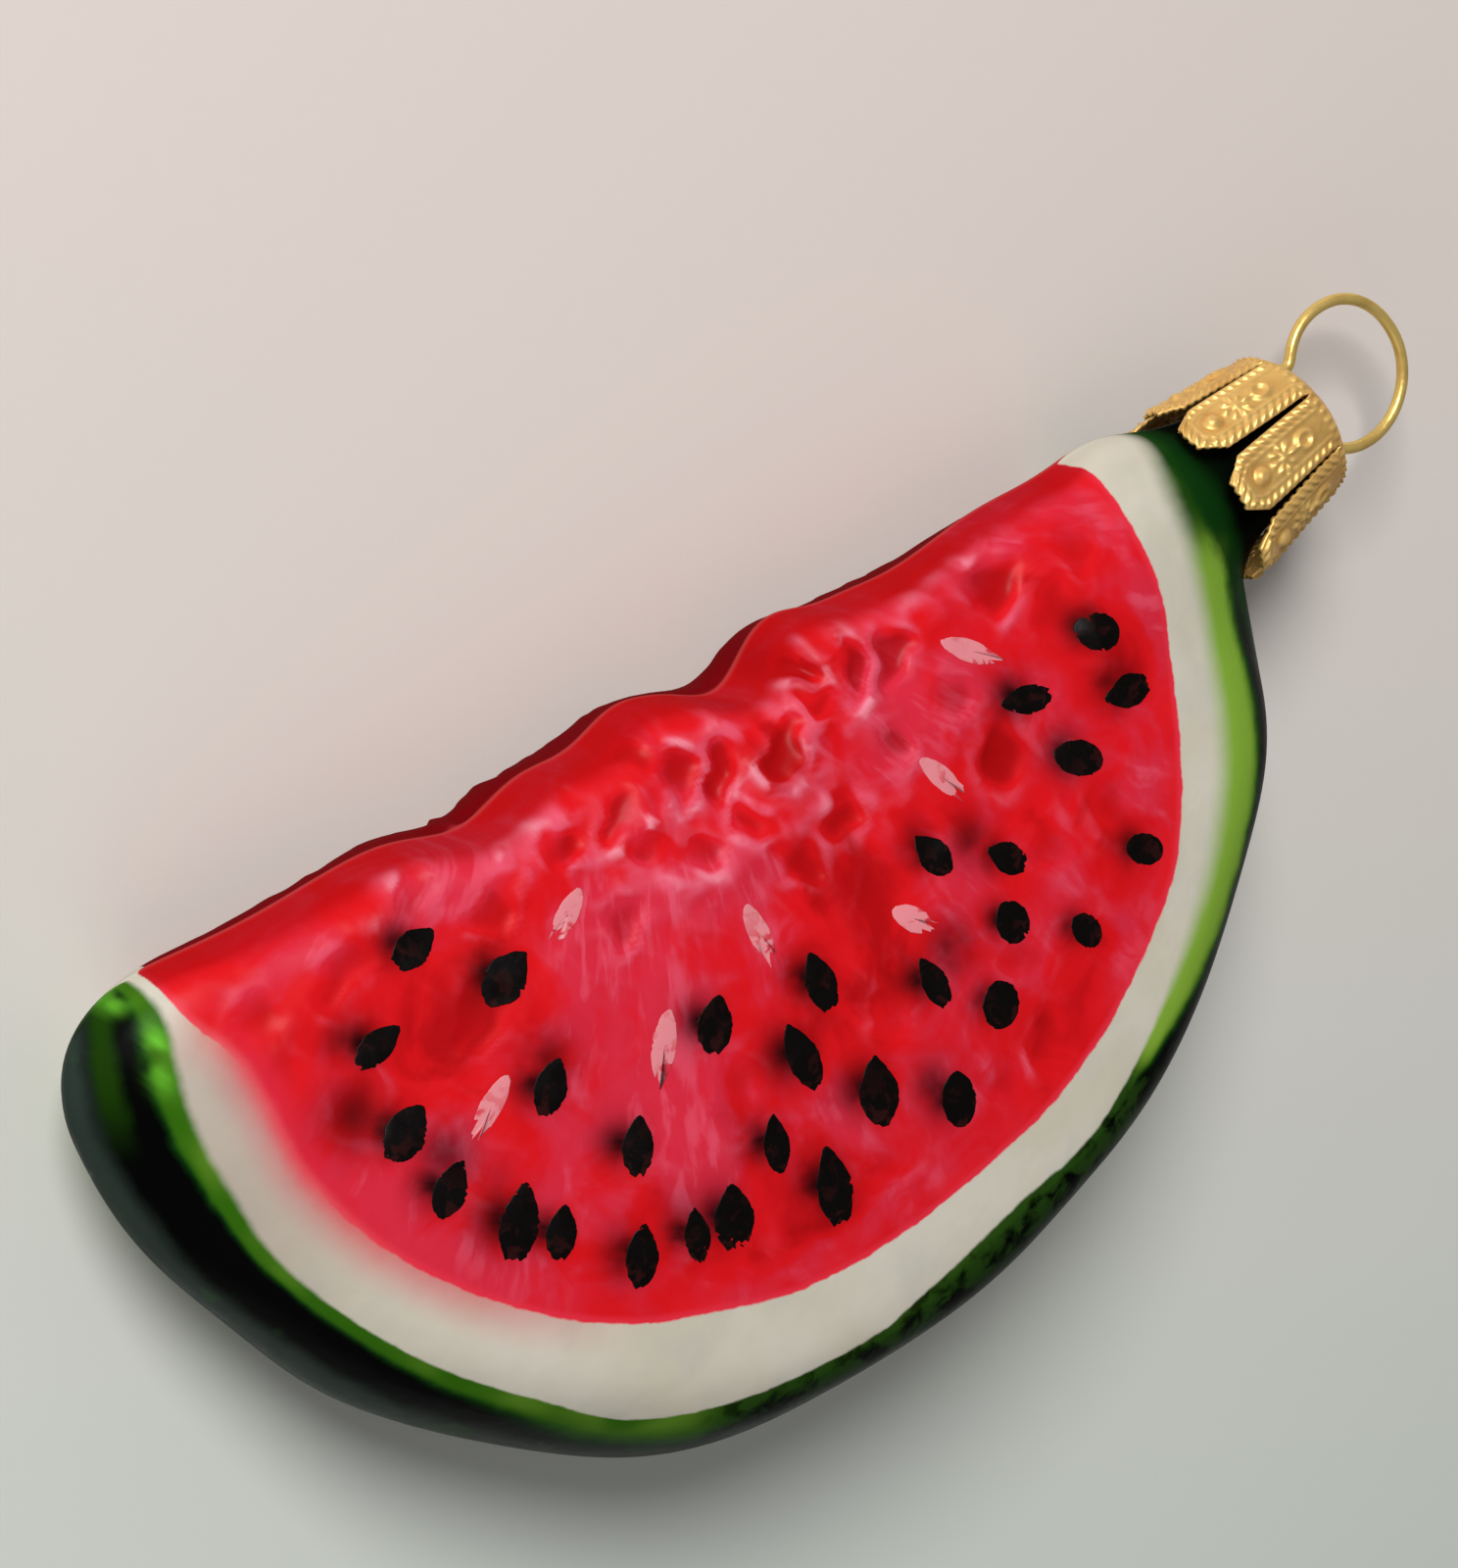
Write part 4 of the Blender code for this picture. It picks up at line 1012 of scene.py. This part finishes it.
def makeSeedTree():
    group, given, out = newGroup(
        "layPaintOnGlass", "GeometryNodeTree",
        (("Geometry", "Geometry", None), ("Blanks", "Collection", None), ("Glass", "Object", None),
         ("Side", "Float", 1.0), ("Material", "Material", None)),
        (("Geometry", "Geometry"),))
    blanks = addNode(group, "GeometryNodeCollectionInfo", {
        "Separate Children": True, "Reset Children": True, "Collection": given["Blanks"]}, transform_space="ORIGINAL")

    def named(name, kind):
        return addNode(group, "GeometryNodeInputNamedAttribute", {"Name": name}, data_type=kind).outputs["Attribute"]

    turn = addNode(group, "FunctionNodeEulerToRotation", {0: named("turn", "FLOAT_VECTOR")})
    place = addNode(group, "GeometryNodeInstanceOnPoints", {
        "Points": given["Geometry"], "Instance": blanks.outputs[0], "Pick Instance": True,
        "Instance Index": named("variant", "INT"), "Rotation": turn.outputs[0], "Scale": named("size", "FLOAT_VECTOR")})
    real = addNode(group, "GeometryNodeRealizeInstances", {0: place.outputs[0]})

    # a ray from each point's place in the plan finds the glass, and the point stands out from there by its own height
    parts = addNode(group, "ShaderNodeSeparateXYZ", {0: addNode(group, "GeometryNodeInputPosition").outputs[0]})
    far = calc(group, "MULTIPLY", given["Side"], seedRay["start"])
    source = addNode(group, "ShaderNodeCombineXYZ", {0: parts.outputs[0], 1: parts.outputs[1], 2: far})
    way = addNode(group, "ShaderNodeCombineXYZ", {2: calc(group, "MULTIPLY", given["Side"], -1.0)})
    body = addNode(group, "GeometryNodeObjectInfo", {"Object": given["Glass"]})
    ray = addNode(group, "GeometryNodeRaycast", {
        "Target Geometry": body.outputs["Geometry"], "Source Position": source.outputs[0],
        "Ray Direction": way.outputs[0], "Ray Length": seedRay["length"]})
    lift = addNode(group, "ShaderNodeVectorMath", {0: ray.outputs["Hit Normal"], "Scale": parts.outputs[2]},
                   operation="SCALE")
    raised = addNode(group, "ShaderNodeVectorMath", {0: ray.outputs["Hit Position"], 1: lift.outputs[0]},
                     operation="ADD")
    settle = addNode(group, "GeometryNodeSetPosition", {"Geometry": real.outputs[0], "Position": raised.outputs[0]})
    return endWithMaterial(group, settle.outputs[0], given, out)


def makeSeeds(kind, tree, seeds, material, glassObject, side):
    front = side > 0
    name = kind + ("SeedsFront" if front else "SeedsBack")
    blanks = bpy.data.collections.new(name + "Blanks")
    blankObjects = []
    for variant in range(seedBlank["variants"]):
        shape = makeBlank(f"{name}Blank{variant}", variant, seedBlank["ragged"][kind], seedBlank["point"][kind])
        blank = bpy.data.objects.new(shape.name, shape)
        blanks.objects.link(blank)
        blankObjects.append(blank)
    mesh = bpy.data.meshes.new(name)
    mesh.from_pydata([((x if front else glass["backShift"] - x) * mm, y * mm, 0.0) for x, y, *_ in seeds], [], [])
    sizes, turns, variants = [], [], []
    blobs, strokes = seedBlank["blobs"], seedBlank["variants"] - seedBlank["blobs"]
    for index, (_, _, length, width, angle) in enumerate(seeds):
        sizes.append((length * mm, width * mm, seedBlank["thickness"] * mm))
        turns.append((0.0, 0.0, math.radians(angle if front else 180.0 - angle)))
        blob = kind == "black" and index in roundSeeds
        variants.append(index % blobs if blob else blobs + (index * 3 + (not front)) % strokes)
    for label, values in (("size", sizes), ("turn", turns)):
        layer = mesh.attributes.new(label, "FLOAT_VECTOR", "POINT")
        layer.data.foreach_set("vector", np.array(values, np.float32).ravel())
    mesh.attributes.new("variant", "INT", "POINT").data.foreach_set("value", variants)
    carrier = linkObject(name + "Points", mesh)
    giveNodes(carrier, tree, Blanks=blanks, Glass=glassObject, Side=float(side), Material=material)
    piece = bakeToMesh(name, carrier, blankObjects)
    bpy.data.collections.remove(blanks)
    return piece


# crown cap: one stamped petal, repeated round the neck

cap = dict(
    petals=8, phase=math.radians(-12.0), slot=0.3, tipSlot=1.15, point=2.0, pointWidth=0.5,
    tipRadius=7.75, tipHeight=-1.2, collarRadius=6.45, collarHeight=8.6,
    profile=((6.45, 8.6), (6.35, 9.2), (5.9, 9.85), (5.0, 10.45), (3.4, 11.05), (1.6, 11.45), (0.0, 11.6)),
    sheet=0.34, columns=42, petalRows=80, domeRows=22,
    facet=0.45,                           # how flat each petal is between its sides
    glassGap=0.12,                        # the petals rest on the glass, bent outwards where they meet it
    # hand-bent petals: angle round the neck in degrees, how much longer, how much further out at the tip
    bent=((-57, 0.0, 0.0), (-12, -0.9, -0.2), (33, 0.9, 0.2), (78, 0.8, 0.1), (123, 0.9, 0.5), (168, -0.5, 0.0),
          (213, 0.0, 0.0), (258, 0.0, 0.0)),
    ropeInset=0.52, ropeWidth=0.36, ropeHeight=0.34, ropePitch=0.8, ropeSlant=0.8,
    linePlace=1.15, lineHeight=0.12, lineWidth=0.14,
    bossAt=2.7, bossRadius=0.58, bossHeight=0.4, moatDepth=0.07, moatRadius=0.85, moatWidth=0.2,
    flowerAt=5.0, flowerRays=8, flowerHeight=0.3, flowerReach=0.85, flowerWidth=0.36,
    loopAt=7.4, loopRadius=0.6, loopWidth=0.22, loopHeight=0.3, loopSquash=0.85,
    stemAt=6.35, stemHeight=0.22, stemWidth=0.2, stemLength=0.4,
    collarBeads=6, collarBeadHeight=0.3, collarBeadAt=0.75, collarBeadWidth=0.3,
    mergeInSector=0.02 * mm, mergeSectors=0.03 * mm,
)


def petalHalfAngle(height):
    toTip = (cap["collarHeight"] - height) / (cap["collarHeight"] - cap["tipHeight"])
    radius = cap["tipRadius"] + (cap["collarRadius"] - cap["tipRadius"]) * (1.0 - toTip)
    gap = cap["slot"] + (cap["tipSlot"] - cap["slot"]) * toTip**1.5
    full = math.pi / cap["petals"] - 0.5 * gap / radius
    share = min(1.0, (height - cap["tipHeight"]) / cap["point"])
    return full * (cap["pointWidth"] + (1.0 - cap["pointWidth"]) * share), radius


def ripple(distance, width):
    return math.exp(-((distance / width) ** 2))


def petalStamp(height, across, halfWidth):
    # pressed height of a petal at a place: rope border, boss, rayed flower and teardrop loop
    fromTip = height - cap["tipHeight"]
    toSide = min(halfWidth - abs(across), 0.92 * fromTip + 0.05)
    ropeWay = height + cap["ropeSlant"] * abs(across)
    if fromTip < cap["point"] * 0.5:
        ropeWay = across + cap["ropeSlant"] * height
    strand = 0.55 + 0.45 * math.cos(2.0 * math.pi * ropeWay / cap["ropePitch"])
    rope = cap["ropeHeight"] * strand * ripple(toSide - cap["ropeInset"], cap["ropeWidth"])
    line = cap["lineHeight"] * ripple(toSide - cap["linePlace"], cap["lineWidth"])
    fromBoss = math.hypot(across, fromTip - cap["bossAt"])
    boss = cap["bossHeight"] * math.exp(-((fromBoss / cap["bossRadius"]) ** 4))
    moat = -cap["moatDepth"] * ripple(fromBoss - cap["moatRadius"], cap["moatWidth"])
    reach = math.hypot(across, fromTip - cap["flowerAt"])
    rays = 0.45 + 0.55 * math.cos(cap["flowerRays"] * math.atan2(across, fromTip - cap["flowerAt"]))
    middle, ring = (ripple(reach - at, cap["flowerWidth"]) for at in (0.0, cap["flowerReach"]))
    flower = cap["flowerHeight"] * (middle + rays * ring)
    loopReach = math.hypot(across, (fromTip - cap["loopAt"]) * cap["loopSquash"])
    loop = cap["loopHeight"] * ripple(loopReach - cap["loopRadius"], cap["loopWidth"])
    stem = cap["stemHeight"] * ripple(across, cap["stemWidth"]) * ripple(fromTip - cap["stemAt"], cap["stemLength"])
    return rope + line + boss + moat + flower + loop + stem


def makeSector():
    # one petal with its share of the dome, as an open sheet about the x axis of the cap
    bm = bmesh.new()
    pressed = bm.verts.layers.float.new("pressed")
    pitch = 2.0 * math.pi / cap["petals"]
    columns = cap["columns"]

    def corner(radius, angle, height, stamp):
        flat = radius * (1.0 - cap["facet"] * 0.5 * (angle / (0.5 * pitch)) ** 2 * (1.0 - math.cos(0.5 * pitch)))
        out = flat + stamp
        vertex = bm.verts.new((height * mm, out * math.cos(angle) * mm, out * math.sin(angle) * mm))
        vertex[pressed] = stamp
        return vertex

    rows = []

    def addRow(half, radius, height, stampAt):
        # one line of corners across the petal, from one side to the other
        angles = [half * (-1.0 + 2.0 * column / columns) for column in range(columns + 1)]
        rows.append([corner(radius, angle, height, stampAt(angle)) for angle in angles])

    for row in range(cap["petalRows"] + 1):
        height = cap["tipHeight"] + (cap["collarHeight"] - cap["tipHeight"]) * row / cap["petalRows"]
        half, radius = petalHalfAngle(height)
        addRow(half, radius, height, lambda angle: petalStamp(height, angle * radius, half * radius))
    profile = np.array(cap["profile"])
    lengths = np.concatenate([[0.0], np.cumsum(np.hypot(*np.diff(profile, axis=0).T))])
    halfCollar = petalHalfAngle(cap["collarHeight"])[0]
    for row in range(1, cap["domeRows"] + 1):
        along = lengths[-1] * row / cap["domeRows"]
        radius, height = (float(np.interp(along, lengths, profile[:, axis])) for axis in (0, 1))
        half = halfCollar + (0.5 * pitch - halfCollar) * min(1.0, row / 2.0)
        beads = cap["collarBeadHeight"] * ripple(along - cap["collarBeadAt"], cap["collarBeadWidth"])
        if row == cap["domeRows"]:
            beads = 0.0
        beadTurn = 2.0 * math.pi * cap["collarBeads"] / pitch
        addRow(half, radius, height, lambda angle: beads * (0.5 + 0.5 * math.cos(beadTurn * angle)))
    for first, second in zip(rows[:-1], rows[1:]):
        for column in range(columns):
            bm.faces.new((first[column], first[column + 1], second[column + 1], second[column]))
    bmesh.ops.remove_doubles(bm, verts=bm.verts, dist=cap["mergeInSector"])
    return meshFrom(bm, "capSector")


def makeRepeatTree():
    group, given, out = newGroup(
        "repeatRoundAxis", "GeometryNodeTree",
        (("Geometry", "Geometry", None), ("Count", "Int", 8), ("Phase", "Float", 0.0),
         ("Merge", "Float", 0.0001), ("Material", "Material", None)),
        (("Geometry", "Geometry"),))
    points = addNode(group, "GeometryNodePoints", {"Count": given["Count"]})
    step = calc(group, "DIVIDE", addNode(group, "GeometryNodeInputIndex").outputs[0], given["Count"])
    turn = addNode(group, "ShaderNodeCombineXYZ", {0: calc(group, "MULTIPLY_ADD", step, 2.0 * math.pi, given["Phase"])})
    rotation = addNode(group, "FunctionNodeEulerToRotation", {0: turn.outputs[0]})
    place = addNode(group, "GeometryNodeInstanceOnPoints", {
        "Points": points.outputs[0], "Instance": given["Geometry"], "Rotation": rotation.outputs[0]})
    real = addNode(group, "GeometryNodeRealizeInstances", {0: place.outputs[0]})
    merge = addNode(group, "GeometryNodeMergeByDistance", {"Geometry": real.outputs[0], "Distance": given["Merge"]})
    return endWithMaterial(group, merge.outputs[0], given, out)


def makeCap(material):
    carrier = linkObject("capCarrier", makeSector())
    giveNodes(carrier, makeRepeatTree(), Count=cap["petals"], Phase=cap["phase"], Merge=cap["mergeSectors"],
              Material=material)
    sheet = carrier.modifiers.new("sheet", "SOLIDIFY")
    sheet.thickness = cap["sheet"] * mm
    sheet.offset = -1.0
    mesh = evaluatedMesh(carrier)
    bpy.data.objects.remove(carrier)
    foot = np.array(onNeckAxis(0.0))
    axis = np.array(onNeckAxis(1.0)) - foot
    aside = np.array(onNeckAxis(0.0, 1.0)) - foot
    mesh.transform(Matrix.Translation(Vector(foot) * mm) @ Matrix.Rotation(glass["neckTurn"], 4, "Z"))
    places = np.array([corner.co for corner in mesh.vertices]) / mm
    height = (places - foot) @ axis
    out = places - foot - np.outer(height, axis)
    out /= np.linalg.norm(out, axis=1)[:, None] + 1e-9
    # the tips are bent by hand, then the petals are pushed off the glass
    around = np.degrees(np.arctan2(out[:, 2], out @ aside))
    angles, longer, further = np.array(cap["bent"]).T
    toTip = smooth(cap["collarHeight"], cap["tipHeight"], height)
    places -= np.outer(toTip * np.interp(around, angles, longer, period=360.0), axis)
    places += out * (toTip * np.interp(around, angles, further, period=360.0))[:, None]
    collar = np.array(onNeckAxis(cap["collarHeight"]))
    for _ in range(3):
        tight = np.clip(cap["glassGap"] - glassField(places, False), 0.0, None)
        near = np.linalg.norm(places - collar, axis=1) > cap["collarRadius"] + 1.0
        places += out * (tight * near)[:, None]
    mesh.vertices.foreach_set("co", (places * mm).astype(np.float32).ravel())
    return bakeToMesh("stampedCap", linkObject("crownCapWork", mesh))


# wire ring: a tube along its path

wire = dict(
    radius=0.48, ringRadius=5.7, ringCentreHeight=16.6, legTopHeight=12.6, sides=20, ringSteps=48, points=260,
    bulge=0.12, bulgeStart=2.0, lean=0.3, leanHeight=13.2, leanWidth=3.0, sharpAngle=math.radians(50.0),
    leg=((3.85, 11.9), (3.8, 11.0), (3.6, 10.0), (3.2, 8.8), (2.6, 6.8), (2.3, 4.6), (2.3, 2.0), (2.9, -1.6),
         (3.7, -4.6)),
)


def makeTubeTree():
    group, given, out = newGroup(
        "tubeAlongPath", "GeometryNodeTree",
        (("Geometry", "Geometry", None), ("Radius", "Float", 0.0005),
         ("Sides", "Int", 16), ("Points", "Int", 200), ("Material", "Material", None)),
        (("Geometry", "Geometry"),))
    path = addNode(group, "GeometryNodeMeshToCurve", {"Mesh": given["Geometry"]})
    spline = addNode(group, "GeometryNodeCurveSplineType", {"Curve": path.outputs[0]}, spline_type="CATMULL_ROM")
    even = addNode(group, "GeometryNodeResampleCurve", {"Curve": spline.outputs[0], "Count": given["Points"]})
    ring = addNode(group, "GeometryNodeCurvePrimitiveCircle", {"Resolution": given["Sides"], "Radius": given["Radius"]})
    tube = addNode(group, "GeometryNodeCurveToMesh", {
        "Fill Caps": True, "Curve": even.outputs[0], "Profile Curve": ring.outputs[0]})
    real = addNode(group, "GeometryNodeRealizeInstances", {0: tube.outputs[0]})
    return endWithMaterial(group, real.outputs[0], given, out)


def makeWire(material):
    entry = math.acos((wire["ringCentreHeight"] - wire["legTopHeight"]) / wire["ringRadius"])
    path = list(reversed(wire["leg"]))
    for step in range(wire["ringSteps"] + 1):
        angle = entry + (2.0 * math.pi - 2.0 * entry) * step / wire["ringSteps"]
        aside = wire["ringRadius"] * math.sin(angle)
        aside *= 1.0 + wire["bulge"] * min(1.0, max(0.0, aside / wire["bulgeStart"]))
        path.append((aside, wire["ringCentreHeight"] - wire["ringRadius"] * math.cos(angle)))
    path += [(-aside, height) for aside, height in wire["leg"]]
    points = []
    for aside, height in path:
        lean = wire["lean"] * smooth(0.0, 3.0, aside) * ripple(height - wire["leanHeight"], wire["leanWidth"])
        points.append(Vector(onNeckAxis(height, aside + lean)) * mm)
    mesh = bpy.data.meshes.new("wirePath")
    mesh.from_pydata(points, [(index, index + 1) for index in range(len(points) - 1)], [])
    carrier = linkObject("wireCarrier", mesh)
    giveNodes(carrier, makeTubeTree(), Radius=wire["radius"] * mm, Sides=wire["sides"], Points=wire["points"],
              Material=material)
    piece = bakeToMesh("wireRing", carrier)
    piece.data.shade_smooth()
    piece.data.set_sharp_from_angle(angle=wire["sharpAngle"])
    return piece


# putting the ornament together

glassMesh, glassPlaces = makeGlassMesh()
paintMaps = paintAttributes(glassMesh, glassPlaces)
glassObject = linkObject("glassWork", glassMesh)
print("glass", len(glassMesh.vertices), "vertices")

seedTree = makeSeedTree()
seedPieces = []
for kind, seeds in (("black", blackSeeds), ("pale", paleSeeds)):
    material = makeSeedPaint(kind + "SeedPaint", seedPaint[kind])
    seedPieces += [makeSeeds(kind, seedTree, seeds, material, glassObject, side) for side in (1, -1)]
print("seeds", [len(piece.data.polygons) for piece in seedPieces])

glassPiece = linkObject("paintedGlassBody", glassMesh)
bpy.data.objects.remove(glassObject)
glassMesh.transform(mouldToRow)
glassMesh.materials.append(makeGlassPaint(paintMaps))

capPiece = makeCap(makeGold("stampedGold", gold["stamped"]))
capPiece.visible_diffuse = False     # keeps the stamped gold from throwing an orange glow on the floor
print("cap", len(capPiece.data.polygons), "faces")
wirePiece = makeWire(makeGold("goldWire", gold["wire"]))
print("wire", len(wirePiece.data.polygons), "faces")


def keepInBox(obj, low, high):
    # nothing may stand out of the solid's box
    count = len(obj.data.vertices)
    places = np.empty(count * 3, np.float32)
    obj.data.vertices.foreach_get("co", places)
    places = places.reshape(-1, 3)
    inside = np.clip(places, np.array(low), np.array(high))
    print(obj.name, "moved into the box by at most", round(float(np.abs(inside - places).max()) / mm, 3), "mm")
    obj.data.vertices.foreach_set("co", inside.astype(np.float32).ravel())
    obj.data.update()


for piece in (glassPiece, capPiece, wirePiece, *seedPieces):
    keepInBox(piece, *cadBounds)
    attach(piece, "root")
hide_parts("glass_body")
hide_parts("crown_cap")
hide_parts("hanger_wire")


# floor, light and camera

studio = dict(
    floorSize=3.0, floorWarm=paint(238, 227, 220), floorCool=paint(224, 232, 224),
    coolAt=-0.09, warmAt=0.07, warmWay=(0.45, 0.89, 0.0),      # painted light: warmer tint on the side of the cut edge, cooler green tint on the rind's side
    lights=(("keyLight", (-0.21, 0.74, 0.62), 0.36, 8.8), ("fillLight", (-0.55, -0.35, 0.55), 0.8, 0.7)),
    world=paint(226, 224, 222), worldStrength=0.19,
)
camera = dict(
    eye=(-0.132538, 0.156966, 0.236728), focalPixels=4106.1, imageWidth=1488.0, sensor=36.0,
    # to the right, up and backwards
    axes=((0.79648, -0.21069, 0.56677), (0.43164, 0.85453, -0.28892), (-0.42345, 0.47476, 0.77155)),
)


def makeFloor():
    half = studio["floorSize"] / 2.0
    mesh = bpy.data.meshes.new("floor")
    corners = [(x * half, y * half, 0.0) for x, y in ((-1, -1), (1, -1), (1, 1), (-1, 1))]
    mesh.from_pydata(corners, [], [(0, 1, 2, 3)])
    floor = linkObject("floor", mesh)
    material, tree, shader = newMaterial("paleFloor")
    spot = addNode(tree, "ShaderNodeTexCoord").outputs["Object"]
    # painted light: the floor's tint goes from cool green on the rind's side to warm on the cut edge's side
    along = addNode(tree, "ShaderNodeVectorMath", {0: spot, 1: studio["warmWay"]}, operation="DOT_PRODUCT")
    warmth = fade(tree, along.outputs["Value"], studio["coolAt"], studio["warmAt"])
    colour = blend(tree, warmth, studio["floorCool"], studio["floorWarm"])
    tree.links.new(colour, shader.inputs["Base Color"])
    tree.links.new(fade(tree, noise(tree, spot, 900.0), 0.3, 0.7, 0.5, 0.6), shader.inputs["Roughness"])
    mesh.materials.append(material)


def addLight(name, at, size, power):
    # a round lamp that shines on the origin
    light = bpy.data.lights.new(name, "AREA")
    light.shape = "DISK"
    light.size = size
    light.energy = power
    obj = bpy.data.objects.new(name, light)
    obj.location = at
    obj.rotation_euler = (-Vector(at)).to_track_quat("-Z", "Y").to_euler()
    bpy.context.scene.collection.objects.link(obj)


def makeCamera():
    view = bpy.data.cameras.new("photoCamera")
    view.sensor_fit = "HORIZONTAL"
    view.sensor_width = camera["sensor"]
    view.lens = camera["focalPixels"] / camera["imageWidth"] * camera["sensor"]
    view.clip_start = 0.01
    obj = bpy.data.objects.new("photoCamera", view)
    turn = Matrix([Vector(axis).normalized() for axis in camera["axes"]]).transposed().to_4x4()
    obj.matrix_world = Matrix.Translation(camera["eye"]) @ turn
    bpy.context.scene.collection.objects.link(obj)
    bpy.context.scene.camera = obj


makeFloor()
for light in studio["lights"]:
    addLight(*light)
world = bpy.data.worlds.new("studioWorld")
bpy.context.scene.world = world
world.use_nodes = True
background = world.node_tree.nodes["Background"]
background.inputs["Color"].default_value = studio["world"]
background.inputs["Strength"].default_value = studio["worldStrength"]
makeCamera()
bpy.context.scene.view_settings.view_transform = "Standard"
print("stage ready")
